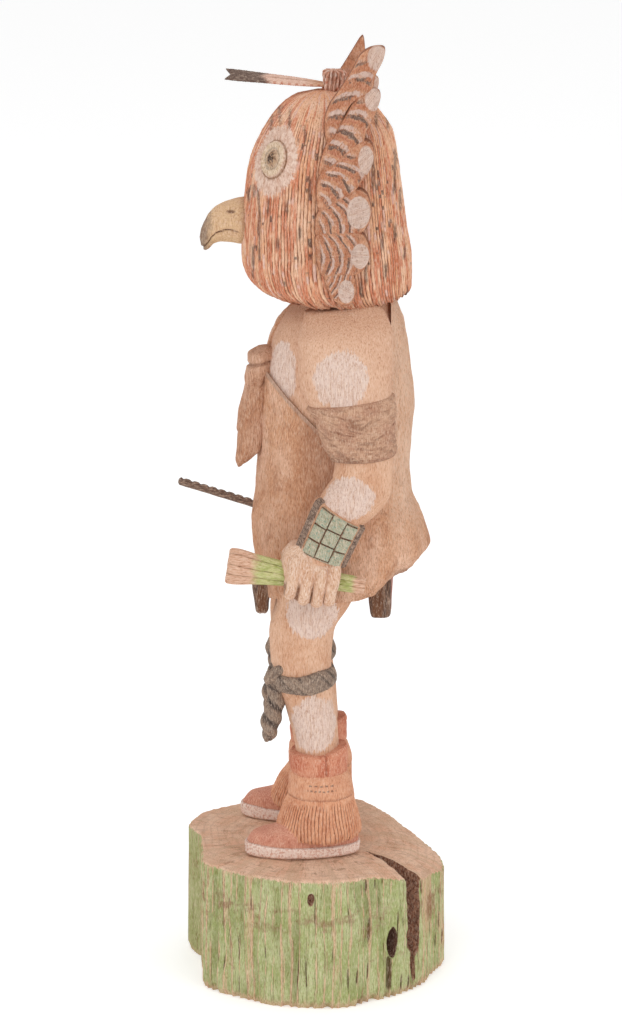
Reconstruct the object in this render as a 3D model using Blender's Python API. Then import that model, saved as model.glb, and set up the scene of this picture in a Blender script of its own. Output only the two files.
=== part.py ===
"""Kachina doll: an owl figure carved from cottonwood root, standing on a slice of the same root.

Metres, +Z up. The doll faces -Y and its own left side is +X. The origin is on the underside of
the base, below the middle of the doll's stance. The figure's pose, proportions and carving are
shares of its own height; the base and the separate pieces have sizes of their own.
"""

import math

import bmesh
import bpy
from mathutils import Matrix, Vector

# Base: a slice of root, sawn flat, its rim gouged
BASE_WIDTH = 0.0930
BASE_DEPTH = 0.0900
BASE_HEIGHT = 0.0467
BASE_EDGE_BEVEL = 0.0013
BASE_FLUTES = 40
BASE_FLUTE_DEPTH = 0.0011
RIM_DROP = 0.0105
CRACK_WIDTH = 0.0105
WORM_HOLE_WIDTH = 0.0042
WORM_HOLE_HEIGHT = 0.0112
WORM_HOLE_DEPTH = 0.0070
PIT_WIDTH = 0.0024
PIT_HEIGHT = 0.0045
PIT_DEPTH = 0.0020

# Figure, from its soles to the tip of its highest feather
FIGURE_HEIGHT = 0.2800

# Wrapped tie on the crown and the feather it holds
TIE_WIDTH = 0.0092
TIE_HEIGHT = 0.0087
TIE_SEAT_DEPTH = 0.0012
FEATHER_LENGTH = 0.0345
FEATHER_WIDTH = 0.0100
FEATHER_THICKNESS = 0.0013
FEATHER_NOTCH = 0.0045
FEATHER_RISE = math.radians(6.0)
FEATHER_ROLL = math.radians(14.0)
FEATHER_TUCK = 0.0025

# Green bundle in the left fist
BUNDLE_LENGTH = 0.0468
BUNDLE_BUTT = 0.0126
BUNDLE_TIP = 0.0058
BUNDLE_STEMS = 9
BUNDLE_SLOPE = math.radians(9.0)

# Notched stick in the right fist
STICK_LENGTH = 0.0766
STICK_DIAMETER = 0.0032
STICK_SLOPE = math.radians(17.5)
STICK_NOTCHES = 12
STICK_NOTCH_DEPTH = 0.00026

# Clearances
SEAT_GAP = 0.0003
GRIP_GAP = 0.0003

# The figure's tables count in carver's units: 280 from the soles, at height 47, to the top at 327
CARVED_HEIGHT = 280.0
SOLE = 47.0
UNIT = FIGURE_HEIGHT / CARVED_HEIGHT
SOLE_LEVEL = BASE_HEIGHT + SEAT_GAP

# Head, an owl mask: height, front, back, half width
HEAD = (
    (241.8, -14.5, 32.2, 23.6),
    (243.0, -19.0, 32.8, 24.6),
    (247.0, -22.9, 32.8, 25.2),
    (254.0, -24.6, 32.6, 25.5),
    (265.0, -24.5, 31.1, 25.2),
    (276.0, -23.6, 29.6, 24.2),
    (287.0, -21.7, 28.0, 22.7),
    (296.0, -17.9, 26.2, 20.0),
    (303.0, -13.1, 21.8, 15.8),
    (307.0, -9.0, 17.4, 11.0),
    (309.4, -4.0, 12.0, 6.2),
)
HEAD_TOP = 310.2
HEAD_TOP_BACK = 3.2
HEAD_SQUARENESS = 2.15
HEAD_FLUTES = 25
HEAD_FLUTE_DEPTH = 0.55
HEAD_FLUTES_FADE = (300.0, 309.0)

# Beak: distance forward, middle height, half height, half width
BEAK = (
    (-18.0, 266.4, 7.4, 8.0),
    (-24.5, 265.8, 7.7, 7.8),
    (-28.0, 265.6, 7.1, 6.8),
    (-31.5, 265.1, 6.4, 5.5),
    (-33.9, 264.0, 6.0, 4.5),
    (-35.6, 262.3, 5.9, 3.4),
    (-37.2, 260.6, 4.8, 2.3),
    (-38.3, 260.1, 2.8, 1.2),
)
BEAK_TIP = (-38.8, 260.2)
BEAK_SIDES = 12

# Left eye: its middle on the mask, which way it faces, and its sizes
EYE_PLACE = (16.2, -13.9, 289.5)
EYE_TURN = math.radians(-50.0)
EYE_TILT = math.radians(10.0)
EYE_RADIUS = 5.4
EYE_RIM = 1.3
PUPIL_RADIUS = 2.6
PUPIL_HEIGHT = 1.8

# Fans of feathers beside the head: outline of each feather from behind its root, clockwise
# as seen from the doll's left, as (towards the back, height)
FAN_FEATHERS = (
    ((4.3, 295.2), (3.0, 301.5), (4.6, 307.5), (8.3, 312.8), (12.4, 319.0), (15.0, 323.6),
     (18.6, 326.0), (22.9, 326.0), (22.6, 322.0), (20.0, 317.0), (18.6, 312.4), (12.0, 308.0),
     (8.0, 301.0)),
    ((1.2, 285.3), (3.6, 295.4), (9.0, 303.0), (13.2, 309.4), (17.8, 312.8), (21.0, 312.4),
     (21.6, 309.6), (19.6, 304.0), (16.8, 299.0), (15.6, 295.4), (8.5, 289.6)),
    ((1.2, 273.8), (1.0, 284.6), (7.2, 290.4), (14.0, 296.2), (18.2, 296.2), (19.6, 292.8),
     (18.3, 287.6), (15.2, 283.2), (12.6, 279.8), (7.0, 276.6)),
    ((0.2, 265.6), (1.2, 274.4), (7.3, 277.8), (13.0, 281.2), (17.2, 279.4), (18.7, 274.3),
     (17.8, 269.6), (14.4, 266.0), (7.4, 265.0)),
    ((2.0, 252.6), (0.2, 259.5), (0.6, 266.4), (8.0, 267.4), (15.2, 266.8), (18.1, 262.4),
     (18.3, 258.2), (15.2, 253.4), (11.2, 252.2), (6.4, 252.0)),
    ((5.2, 245.6), (2.8, 252.8), (7.0, 254.6), (11.8, 254.0), (13.9, 248.8), (12.8, 243.8),
     (10.5, 242.2), (7.8, 242.9)),
)
FAR_TOP_FEATHER = (
    (4.3, 295.2), (3.0, 301.5), (4.2, 308.0), (8.4, 314.6), (12.2, 321.0), (15.4, 326.3),
    (16.5, 326.0), (17.2, 320.6), (18.8, 314.4), (17.0, 310.6), (12.0, 307.4), (8.0, 301.0),
)
# Outer face of a fan: height, distance from the middle of the doll
FAN_FACE = (
    (240.0, 28.2), (270.0, 28.2), (278.0, 27.4), (286.0, 26.2), (293.0, 24.8), (299.0, 22.8),
    (304.0, 20.6), (309.0, 18.4), (315.0, 16.2), (321.0, 14.2), (327.0, 12.6),
)
# Thickness of a fan feather beside the head, and of a tip that stands free above it
FAN_THICKNESS = 8.0
FAN_TIP_THICKNESS = 4.0
FAN_TIPS_START = (298.0, 312.0)
# How much every second feather stands above its neighbours
FAN_OVERLAP = 0.45
# Section of a feather from its back to its face: share of its outline, share of its thickness
FAN_SECTION = ((0.96, 1.0), (1.0, 0.15), (0.66, 0.0))

# Bare body, and the hide robe around it: height, front, back, half width
BODY = (
    (150.0, -17.5, 30.0, 22.0),
    (182.0, -18.4, 31.0, 22.4),
    (202.0, -17.6, 31.0, 22.4),
    (214.0, -16.9, 30.8, 22.6),
    (226.0, -14.6, 30.0, 22.2),
    (233.0, -11.2, 28.8, 20.6),
    (239.0, -6.6, 26.5, 17.6),
    (246.0, -3.0, 23.0, 13.0),
)
ROBE = (
    (139.0, -20.3, 33.4, 25.6),
    (142.0, -20.9, 36.0, 26.4),
    (148.5, -20.6, 39.4, 27.0),
    (156.0, -21.4, 37.8, 26.6),
    (164.0, -21.9, 36.0, 25.6),
    (173.0, -20.5, 33.4, 24.6),
    (184.0, -19.7, 32.8, 24.0),
    (203.0, -19.0, 34.2, 24.0),
    (219.0, -17.4, 32.6, 23.8),
    (231.0, -13.6, 30.8, 22.4),
    (238.0, -7.6, 28.4, 19.4),
    (246.0, -2.0, 24.0, 14.0),
)
ROBE_SIDES = 36
ROBE_SQUARENESS = 2.3
ROBE_BACK_HEM = 146.6
ROBE_FLARE_TOP = 172.0
ROBE_FOLDS = 13
ROBE_BROAD_FOLDS = 5
ROBE_FOLD_DEPTH = 0.7
ROBE_FOLDS_FADE = (140.0, 186.0)
HEM_WAVES = 9
HEM_WAVE_HEIGHT = 0.5
# Hollow under the hem: how deep it goes and at which shares of the hem's outline
HEM_RECESS = 3.6
HEM_ROOF_RISE = 3.0
HEM_MIDDLE = 6.5
HEM_INNER_RING = 0.84
HEM_LIP_RING = 0.90
# What the robe leaves bare on the left, seen from the side
BARE_SIDE = (
    (-40.0, 252.0), (-40.0, 219.0), (-17.6, 217.0), (-14.0, 213.8), (-4.9, 204.6), (4.0, 196.0),
    (14.0, 187.0), (27.6, 190.0), (27.6, 252.0),
)
BARE_FROM = 2.5
BARE_TO = 60.0

# Knot of the robe at the chest and its two hanging ends: height, front, back, middle across, half
KNOT = (
    (208.6, -21.6, -16.6, 3.6, 3.0),
    (211.2, -23.5, -14.6, 3.8, 4.8),
    (214.5, -23.6, -13.8, 4.0, 5.8),
    (218.2, -22.6, -13.4, 4.2, 5.8),
    (221.0, -22.4, -13.4, 4.2, 5.6),
    (223.4, -19.2, -14.0, 4.0, 3.2),
)
NEAR_END = (
    (181.8, -26.4, -25.0, 6.4, 1.0),
    (184.4, -27.1, -22.2, 6.4, 3.0),
    (189.6, -26.5, -17.4, 6.2, 4.2),
    (196.6, -25.6, -16.6, 5.8, 4.0),
    (206.0, -24.0, -16.0, 5.0, 3.6),
    (213.0, -22.6, -15.4, 4.2, 3.2),
)
FAR_END = (
    (189.8, -25.4, -23.6, -2.2, 1.2),
    (193.4, -26.6, -18.0, -2.0, 3.6),
    (200.0, -25.8, -16.0, -1.0, 4.2),
    (207.0, -24.6, -15.4, 1.0, 4.0),
    (213.0, -23.2, -14.6, 2.6, 3.6),
)

# Tails of the hide below the hem: across, front, back, half width, top, bottom
HIDE_TAILS = (
    (13.0, -21.6, -14.8, 4.2, 146.0, 132.6),
    (9.0, 17.8, 27.2, 4.2, 150.0, 129.8),
)

# Left arm from shoulder to wrist: across, back, height, half depth, half width
ARM = (
    (17.0, 9.0, 240.0, 12.5, 7.0),
    (22.4, 10.2, 230.0, 16.0, 8.8),
    (24.8, 10.3, 219.0, 15.9, 9.3),
    (25.8, 13.0, 208.0, 13.3, 9.2),
    (26.6, 14.7, 198.0, 11.3, 8.9),
    (27.4, 16.6, 190.0, 9.9, 8.6),
    (28.2, 15.8, 181.5, 10.2, 8.3),
    (29.2, 9.0, 172.5, 8.8, 7.8),
    (30.6, 5.0, 164.6, 8.4, 7.2),
    (31.6, 1.8, 157.4, 8.2, 6.6),
    (32.2, -0.4, 152.0, 7.8, 5.8),
)
ARMBAND_TOP = 212.4
ARMBAND_BOTTOM = 190.4
ARMBAND_PROUD = 1.2
BAND_EDGE = 1.1
BAND_EDGE_SUNK = 0.4
SLEEVE_TOP = 236.0
SLEEVE_BOTTOM = 186.0
SLEEVE_PROUD = 1.3
SLEEVE_LIP = 0.6
WRISTBAND_TOP = 172.6
WRISTBAND_BOTTOM = 157.2
WRISTBAND_PROUD = 0.9
PLATE_ROWS = 3
PLATE_COLUMNS = 3
PLATE_CELL_LENGTH = 6.0
PLATE_CELL_WIDTH = 4.1
PLATE_CELL_DEPTH = 4.2
PLATE_GROOVE = 0.5
PLATE_SUNK = 1.6
PLATE_CURVE = 0.9
PLATE_TAPER = 0.75
PLATE_MIDDLE = (38.3, 4.8, 164.6)
PLATE_SLOPE = math.radians(22.5)

# Fist: height, front, back, middle across, half width
FIST = (
    (141.6, -6.0, 5.0, 32.0, 3.2),
    (144.0, -9.0, 7.0, 32.4, 5.0),
    (148.0, -11.0, 7.6, 32.8, 6.0),
    (153.0, -11.4, 8.2, 32.6, 6.4),
    (158.0, -11.2, 8.4, 31.8, 6.2),
    (162.0, -8.4, 7.0, 31.2, 5.2),
)
FINGER_ROOTS = (-6.7, -2.2, 2.2, 6.3)
FINGER_ENDS = (144.2, 142.2, 141.4, 141.8)
FINGER_WIDTH = 2.45
# Bend of a finger: across, back from its root, height above its end, radius as a share
FINGER_BEND = (
    (34.6, 0.6, 15.4, 0.64),
    (36.8, 0.2, 11.8, 1.0),
    (37.8, -0.6, 6.6, 1.0),
    (36.6, -1.4, 2.2, 1.0),
    (33.2, -1.7, 0.9, 0.87),
    (29.6, -1.7, 2.6, 0.68),
)
GRIP_MIDDLE = (33.0, -1.6, 150.2)

# Leg: height, middle back, half width, half depth
LEG = (
    (60.0, 1.8, 7.8, 8.0),
    (84.0, 0.9, 8.2, 7.5),
    (98.0, -1.0, 8.8, 8.5),
    (106.0, -3.0, 9.2, 9.5),
    (115.0, -4.6, 9.8, 10.3),
    (126.0, -4.4, 10.8, 11.1),
    (139.0, 0.2, 11.0, 13.2),
    (152.0, 1.2, 11.0, 13.8),
)
LEG_SPACING = 15.2
KNEE_TIE = (105.8, 112.8)
KNEE_TIE_PROUD = 1.7
KNEE_TIE_EDGE = 1.3
KNEE_KNOT_PLACE = (8.0, 4.6, 113.2)
KNEE_KNOT_SIZE = (3.4, 3.0, 3.4)
TASSEL_OUTWARD = 1.4
# Hanging end of the knee tie: height, front, back, half width
KNEE_TASSEL = (
    (86.8, -17.0, -15.2, 1.0),
    (89.6, -18.0, -13.0, 2.6),
    (94.0, -18.4, -11.8, 3.2),
    (99.0, -17.4, -10.6, 3.0),
    (103.6, -16.2, -10.2, 2.6),
    (107.0, -16.4, -9.6, 3.6),
    (112.4, -16.2, -9.0, 4.0),
    (116.6, -14.0, -10.0, 2.2),
)
CUFF = (
    (75.8, -8.0, 10.8, 9.2),
    (77.2, -8.5, 11.4, 9.7),
    (82.4, -8.7, 11.4, 9.5),
    (83.6, -8.0, 10.6, 8.8),
)
ANKLE_BAND = (
    (67.4, -8.8, 13.0, 10.2),
    (69.0, -9.3, 13.4, 10.6),
    (75.6, -8.7, 11.7, 9.7),
    (76.6, -8.0, 10.9, 9.2),
)
FRINGE = (
    (53.0, -13.0, 16.0, 12.4),
    (54.6, -13.5, 16.4, 12.6),
    (61.0, -12.0, 15.2, 11.6),
    (67.8, -9.2, 13.2, 10.4),
)
FRINGE_CUTS = 14
FRINGE_CUT_DEPTH = 0.7
# Moccasin: height, toe, heel, half width
MOCCASIN = (
    (47.0, -23.0, 14.6, 8.0),
    (47.9, -24.3, 15.6, 8.8),
    (50.6, -24.4, 15.8, 8.8),
    (51.3, -23.6, 15.4, 8.2),
    (54.2, -21.2, 15.2, 8.0),
    (56.6, -14.0, 14.6, 7.6),
    (61.6, -7.4, 13.6, 7.2),
)
FOOT_SPACING = 16.0
# Bands are turned a little on their limbs, so that their facets don't lie on the limb's own
BAND_START = 0.11
# The right foot stands this far ahead; the lead fades out between these heights
FAR_FOOT_LEAD = 2.2
LEAD_HEIGHTS = (58.0, 68.0)
# Both moccasins are turned outwards about the heel, which lies at this Y
TOE_OUT = math.radians(8.0)
HEEL = 14.0
# Faces of the figure that lie this flat to each other are made one
FLAT_ANGLE = math.radians(6.0)

# Base: its foot and the level part of its top as shares of its outline, and how its rim falls
BASE_FOOT = 0.985
BASE_LEVEL_RING = 0.72
RIM_FALL_START = 0.37
RIM_FALL_CURVE = 1.35
# Outline of the base from above: angle from +X towards +Y, share of the half size
BASE_OUTLINE = (
    (0, 1.054), (14, 1.060), (27, 1.004), (38, 1.014), (46, 1.006), (55, 1.000), (66, 0.966),
    (80, 0.990), (92, 0.976), (108, 0.892), (127, 0.836), (147, 0.866), (166, 0.884),
    (187, 0.866), (208, 0.896), (226, 0.948), (241, 1.012), (255, 1.003), (264, 0.928),
    (272, 0.870), (284, 0.882), (296, 0.938), (307, 1.036), (320, 1.024), (334, 1.024),
    (347, 1.044),
)
CRACK_BEARING = math.radians(45.5)
# Crack: height share, where it starts as a share of the half width, share of its full width
CRACK = (
    (0.06, 0.97, 0.08),
    (0.14, 0.93, 0.18),
    (0.32, 0.86, 0.52),
    (0.47, 0.80, 0.72),
    (0.66, 0.70, 0.72),
    (0.84, 0.55, 0.90),
    (1.10, 0.34, 1.16),
)
# The cutter of the crack runs out past the rim to this share of the half width
CRACK_MOUTH = 1.3
WORM_HOLE_BEARING = math.radians(35.0)
WORM_HOLE_MIDDLE = 0.44
PIT_BEARING = math.radians(-1.5)
PIT_MIDDLE = 0.86

# Tie on the crown: how far back its foot stands, its profile as share of height and of half width
TIE_BACK = 6.6
TIE_SINK = 0.5
TIE_PROFILE = ((0.0, 0.94), (0.12, 1.0), (0.5, 0.94), (0.82, 1.0), (1.0, 0.88))
TIE_TOP = 0.98
TIE_GROOVES = 14
TIE_GROOVE_SHARE = 0.09
# Feather on the tie: its height there, and its outline as share of length and of half width
FEATHER_PLACE = 0.40
FEATHER_OUTLINE = ((0.0, 0.24), (0.12, 0.5), (0.35, 0.74), (0.65, 0.86), (0.9, 0.97), (1.0, 0.94))
# Bundle: share of its length from the butt, share of the way from tip to butt thickness
BUNDLE_TAPER = ((0.0, 1.0), (0.04, 1.04), (0.22, 0.72), (0.42, 0.42), (0.75, 0.12), (1.0, 0.0))
BUNDLE_AHEAD = 0.60
BUNDLE_FLATNESS = 0.82
STEM_GROOVE = 0.10
# Stick: share of its length in front of the fist's middle, and its offset in the fist
STICK_AHEAD = 0.657
STICK_BACK = 1.6
STICK_UP = 1.4
STICK_SIDES = 6


def remove_everything():
    for thing in list(bpy.data.objects):
        bpy.data.objects.remove(thing, do_unlink=True)


def new_collection(name):
    collection = bpy.data.collections.new(name)
    bpy.context.scene.collection.children.link(collection)
    return collection


def material(name, colour, roughness, metallic=0.0):
    made = bpy.data.materials.new(name)
    made.use_nodes = True
    shader = made.node_tree.nodes["Principled BSDF"]
    shader.inputs["Base Color"].default_value = (*colour, 1.0)
    shader.inputs["Roughness"].default_value = roughness
    shader.inputs["Metallic"].default_value = metallic
    made.diffuse_color = (*colour, 1.0)
    return made


def mix(a, b, t):
    return a + (b - a) * t


def smooth_step(low, high, value):
    t = min(max((value - low) / (high - low), 0.0), 1.0)
    return t * t * (3.0 - 2.0 * t)


def read_table(table, key):
    """The row of a table at a key in its first column, straight between rows."""
    rows = sorted(table)
    if key <= rows[0][0]:
        return rows[0]
    for low, high in zip(rows, rows[1:]):
        if key <= high[0]:
            t = (key - low[0]) / (high[0] - low[0])
            return tuple(mix(a, b, t) for a, b in zip(low, high))
    return rows[-1]


def signed_power(value, power):
    return math.copysign(abs(value) ** power, value)


def oval(x, y, z, half_x, half_y, count, squareness=2.0, flutes=0, flute_depth=0.0, start=0.0):
    """A level ring, round at squareness 2 and boxier above it, with cut flutes if any."""
    ring = []
    for step in range(count):
        turn = start + 2.0 * math.pi * step / count
        across = signed_power(math.cos(turn), 2.0 / squareness)
        along = signed_power(math.sin(turn), 2.0 / squareness)
        inset = flute_depth * (0.5 - 0.5 * math.cos((turn - start) * flutes)) if flutes else 0.0
        ring.append(Vector((x + (half_x - inset) * across, y + (half_y - inset) * along, z)))
    return ring


def skin(name, rings, tip=None, root=None):
    """A closed mesh through rings of equal count; an end is flat unless it is given a point."""
    mesh_maker = bmesh.new()
    made = [[mesh_maker.verts.new(point) for point in ring] for ring in rings]
    count = len(rings[0])
    for low, high in zip(made, made[1:]):
        for step in range(count):
            after = (step + 1) % count
            mesh_maker.faces.new((low[step], low[after], high[after], high[step]))
    for ring, point, forward in ((made[-1], tip, True), (made[0], root, False)):
        if point is None:
            mesh_maker.faces.new(ring if forward else ring[::-1])
            continue
        middle = mesh_maker.verts.new(point)
        for step in range(count):
            pair = (ring[step], ring[(step + 1) % count])
            mesh_maker.faces.new((*pair, middle) if forward else (pair[1], pair[0], middle))
    bmesh.ops.recalc_face_normals(mesh_maker, faces=mesh_maker.faces)
    if mesh_maker.calc_volume(signed=True) < 0.0:
        bmesh.ops.reverse_faces(mesh_maker, faces=mesh_maker.faces)
    mesh = bpy.data.meshes.new(name)
    mesh_maker.to_mesh(mesh)
    mesh_maker.free()
    thing = bpy.data.objects.new(name, mesh)
    cutters.objects.link(thing)
    thing.hide_render = True
    thing.display_type = "WIRE"
    return thing


def stack(name, table, count, x=0.0, squareness=2.0, flutes=0, flute_depth=0.0, start=0.0):
    """A solid through level ovals given as height, front, back, half width."""
    rings = []
    for z, front, back, half in table:
        middle = (front + back) / 2
        ring = oval(x, middle, z, half, back - middle, count, squareness, flutes, flute_depth, start)
        rings.append(ring)
    return skin(name, rings)


def drifting_stack(name, table, count, squareness=2.0, side=1.0, start=0.0):
    """As a stack, with the middle across given too: height, front, back, middle, half width."""
    rings = []
    for z, front, back, x, half in table:
        middle = (front + back) / 2
        rings.append(oval(side * x, middle, z, half, back - middle, count, squareness, start=start))
    return skin(name, rings)


def ball(name, x, y, z, half_x, half_y, half_z, segments=12, rings=8):
    bpy.ops.mesh.primitive_uv_sphere_add(segments=segments, ring_count=rings, radius=1.0)
    thing = bpy.context.object
    thing.name = name
    thing.data.transform(Matrix.Diagonal((half_x, half_y, half_z, 1.0)))
    thing.location = (x, y, z)
    return thing


def block(name, size, place, turn=None):
    bpy.ops.mesh.primitive_cube_add(size=1.0)
    thing = bpy.context.object
    thing.name = name
    thing.data.transform(Matrix.Diagonal((*size, 1.0)))
    if turn is not None:
        thing.data.transform(turn.to_4x4())
    thing.location = place
    return thing


def combine(target, others, operation):
    """Joins or cuts others into target with exact Booleans, and removes them."""
    for other in others:
        boolean = target.modifiers.new(other.name, "BOOLEAN")
        boolean.operation = operation
        boolean.solver = "EXACT"
        boolean.object = other
    bpy.context.view_layer.update()
    evaluated = target.evaluated_get(bpy.context.evaluated_depsgraph_get())
    joined = bpy.data.meshes.new_from_object(evaluated)
    target.modifiers.clear()
    target.data = joined
    for other in others:
        bpy.data.objects.remove(other, do_unlink=True)
    return target


def join_flat_faces(thing):
    """Makes one of faces that lie nearly flat to each other, and cuts all into triangles."""
    mesh_maker = bmesh.new()
    mesh_maker.from_mesh(thing.data)
    bmesh.ops.dissolve_limit(
        mesh_maker, angle_limit=FLAT_ANGLE, verts=mesh_maker.verts, edges=mesh_maker.edges
    )
    bmesh.ops.triangulate(mesh_maker, faces=mesh_maker.faces)
    mesh_maker.to_mesh(thing.data)
    mesh_maker.free()


def fill_inside(thing):
    """Drops the skins of closed pockets left between joined shapes, so that the wood is solid."""
    mesh_maker = bmesh.new()
    mesh_maker.from_mesh(thing.data)
    waiting = set(mesh_maker.verts)
    shells = []
    while waiting:
        shell = {waiting.pop()}
        edge_of_search = list(shell)
        while edge_of_search:
            for edge in edge_of_search.pop().link_edges:
                for vert in edge.verts:
                    if vert in waiting:
                        waiting.remove(vert)
                        shell.add(vert)
                        edge_of_search.append(vert)
        shells.append(shell)
    outer = max(shells, key=len)
    inner = [vert for shell in shells if shell is not outer for vert in shell]
    bmesh.ops.delete(mesh_maker, geom=inner, context="VERTS")
    mesh_maker.to_mesh(thing.data)
    mesh_maker.free()


def finish_piece(thing, name, finish, sharp_angle=math.radians(38.0)):
    """Names a finished piece, gives it its material and moves it to the doll's collection."""
    thing.name = name
    thing.data.name = name
    thing.data.materials.clear()
    thing.data.materials.append(finish)
    for collection in list(thing.users_collection):
        collection.objects.unlink(thing)
    doll.objects.link(thing)
    thing.hide_render = False
    thing.display_type = "TEXTURED"
    thing.data.shade_smooth()
    thing.data.set_sharp_from_angle(angle=sharp_angle)
    return thing


def figure_point(x, y, z):
    """A point of the figure's tables as a place in metres."""
    return Vector((x * UNIT, y * UNIT, SOLE_LEVEL + (z - SOLE) * UNIT))


def outline_share(bearing):
    """The base's outline at a bearing, as a smooth closed curve through its given shares."""
    degrees = math.degrees(bearing) % 360.0
    count = len(BASE_OUTLINE)
    for index in range(count):
        start, share = BASE_OUTLINE[index]
        end, next_share = BASE_OUTLINE[(index + 1) % count]
        span = (end - start) % 360
        if (degrees - start) % 360.0 < span:
            t = (degrees - start) % 360.0 / span
            before = BASE_OUTLINE[index - 1][1]
            after = BASE_OUTLINE[(index + 2) % count][1]
            bend = (after - next_share + share - before) * t * (t - 1.0) / 4.0
            return mix(share, next_share, t) + bend * 0.5
    return BASE_OUTLINE[0][1]


def base_point(bearing, share):
    """A point at a bearing, at a share of the way from the base's middle to its outline."""
    reach = share * outline_share(bearing)
    across = math.cos(bearing) * reach * BASE_DEPTH / 2
    return Vector((across, math.sin(bearing) * reach * BASE_WIDTH / 2))


def base_top(y):
    """Height of the base's top: level under the feet, dropping towards the right of the photo."""
    flat_to = RIM_FALL_START * BASE_WIDTH / 2
    share = max(0.0, (y - flat_to) / (BASE_WIDTH / 2 - flat_to))
    return BASE_HEIGHT - RIM_DROP * share ** RIM_FALL_CURVE


def base_ring(share, height, flute_depth, level=False):
    """A ring of the base; height is a share of the top's height there, or metres if level."""
    ring = []
    count = BASE_FLUTES * 2
    for step in range(count):
        bearing = 2.0 * math.pi * step / count
        spot = base_point(bearing, share)
        inset = flute_depth if step % 2 else 0.0
        spot = spot * (1.0 - inset / spot.length)
        z = height if level else base_top(spot.y) * height
        ring.append(Vector((spot.x, spot.y, z)))
    return ring


def make_base():
    bevel = 2.0 * BASE_EDGE_BEVEL / BASE_WIDTH
    rings = [
        base_ring(BASE_FOOT, 0.0, 0.0, level=True),
        base_ring(1.0, BASE_EDGE_BEVEL, BASE_FLUTE_DEPTH, level=True),
        base_ring(1.0, 0.5, BASE_FLUTE_DEPTH),
        base_ring(1.0, 1.0 - BASE_EDGE_BEVEL / BASE_HEIGHT, BASE_FLUTE_DEPTH),
        base_ring(1.0 - bevel, 1.0, 0.0),
        base_ring(BASE_LEVEL_RING, 1.0, 0.0),
    ]
    base = skin("base", rings, tip=(0.0, 0.0, BASE_HEIGHT))
    reach = BASE_WIDTH / 2
    away = Vector((math.cos(CRACK_BEARING), math.sin(CRACK_BEARING), 0.0))
    across = Vector((-away.y, away.x, 0.0))
    crack_rings = []
    for height, start, width in CRACK:
        half = width * CRACK_WIDTH / 2 * (CRACK_MOUTH - start) / (1.0 - start)
        z = Vector((0.0, 0.0, height * BASE_HEIGHT))
        mouth = away * reach * CRACK_MOUTH
        root = away * reach * start
        crack_rings.append([root + z, mouth - across * half + z, mouth + across * half + z])
    crack = skin("crack", crack_rings)
    hole_spot = base_point(WORM_HOLE_BEARING, 1.0)
    worm_hole = ball(
        "worm_hole", hole_spot.x, hole_spot.y, WORM_HOLE_MIDDLE * BASE_HEIGHT,
        WORM_HOLE_DEPTH, WORM_HOLE_WIDTH / 2, WORM_HOLE_HEIGHT / 2,
    )
    worm_hole.rotation_euler.z = WORM_HOLE_BEARING
    pit_spot = base_point(PIT_BEARING, 1.0)
    pit = ball(
        "pit", pit_spot.x, pit_spot.y, PIT_MIDDLE * BASE_HEIGHT,
        PIT_DEPTH, PIT_WIDTH / 2, PIT_HEIGHT / 2, segments=8, rings=6,
    )
    combine(base, [crack, worm_hole, pit], "DIFFERENCE")
    return finish_piece(base, "base", root_wood)


def head_parts():
    rings = []
    count = HEAD_FLUTES * 2
    for z, front, back, half in HEAD:
        cut = HEAD_FLUTE_DEPTH * (1.0 - smooth_step(*HEAD_FLUTES_FADE, z))
        middle = (front + back) / 2
        rings.append(oval(
            0.0, middle, z, half, back - middle, count, HEAD_SQUARENESS, HEAD_FLUTES, cut
        ))
    parts = [skin("head", rings, tip=(0.0, HEAD_TOP_BACK, HEAD_TOP))]
    beak_rings = []
    for y, z, half_z, half_x in BEAK:
        ring = []
        for step in range(BEAK_SIDES):
            turn = 2.0 * math.pi * step / BEAK_SIDES
            ring.append(Vector((half_x * math.cos(turn), y, z + half_z * math.sin(turn))))
        beak_rings.append(ring)
    parts.append(skin("beak", beak_rings, tip=(0.0, *BEAK_TIP)))
    for side in (1.0, -1.0):
        parts += eye_parts(side)
        parts += fan_parts(side)
    return parts


def eye_parts(side):
    x, y, z = EYE_PLACE
    bpy.ops.mesh.primitive_torus_add(
        major_radius=EYE_RADIUS, minor_radius=EYE_RIM, major_segments=16, minor_segments=5
    )
    rim = bpy.context.object
    rim.name = "eye_rim"
    pupil = ball(
        "pupil", 0.0, 0.0, 0.0, PUPIL_RADIUS, PUPIL_RADIUS, PUPIL_HEIGHT, segments=8, rings=4
    )
    facing = EYE_TURN if side > 0 else math.pi - EYE_TURN
    turn = Matrix.Rotation(facing, 4, "Z") @ Matrix.Rotation(math.pi / 2 - EYE_TILT, 4, "Y")
    for thing in (rim, pupil):
        thing.data.transform(Matrix.Translation((side * x, y, z)) @ turn)
    return [rim, pupil]


def feather_leaf(name, outline, side, lift):
    """A domed feather on a fan, from its outline seen from the side."""
    middle_y = sum(point[0] for point in outline) / len(outline)
    middle_z = sum(point[1] for point in outline) / len(outline)
    rings = []
    for share, depth in FAN_SECTION:
        ring = []
        for y, z in outline:
            spot_y = mix(middle_y, y, share)
            spot_z = mix(middle_z, z, share)
            face = read_table(FAN_FACE, spot_z)[1]
            thinning = smooth_step(*FAN_TIPS_START, spot_z)
            thickness = mix(FAN_THICKNESS, FAN_TIP_THICKNESS, thinning)
            ring.append(Vector((side * (face - depth * thickness + lift), spot_y, spot_z)))
        rings.append(ring)
    return skin(name, rings)


def fan_parts(side):
    parts = []
    for index, outline in enumerate(FAN_FEATHERS):
        if side < 0 and index == 0:
            outline = FAR_TOP_FEATHER
        lift = 0.0 if index % 2 else FAN_OVERLAP
        parts.append(feather_leaf("fan_feather", outline, side, lift))
    return parts


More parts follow.
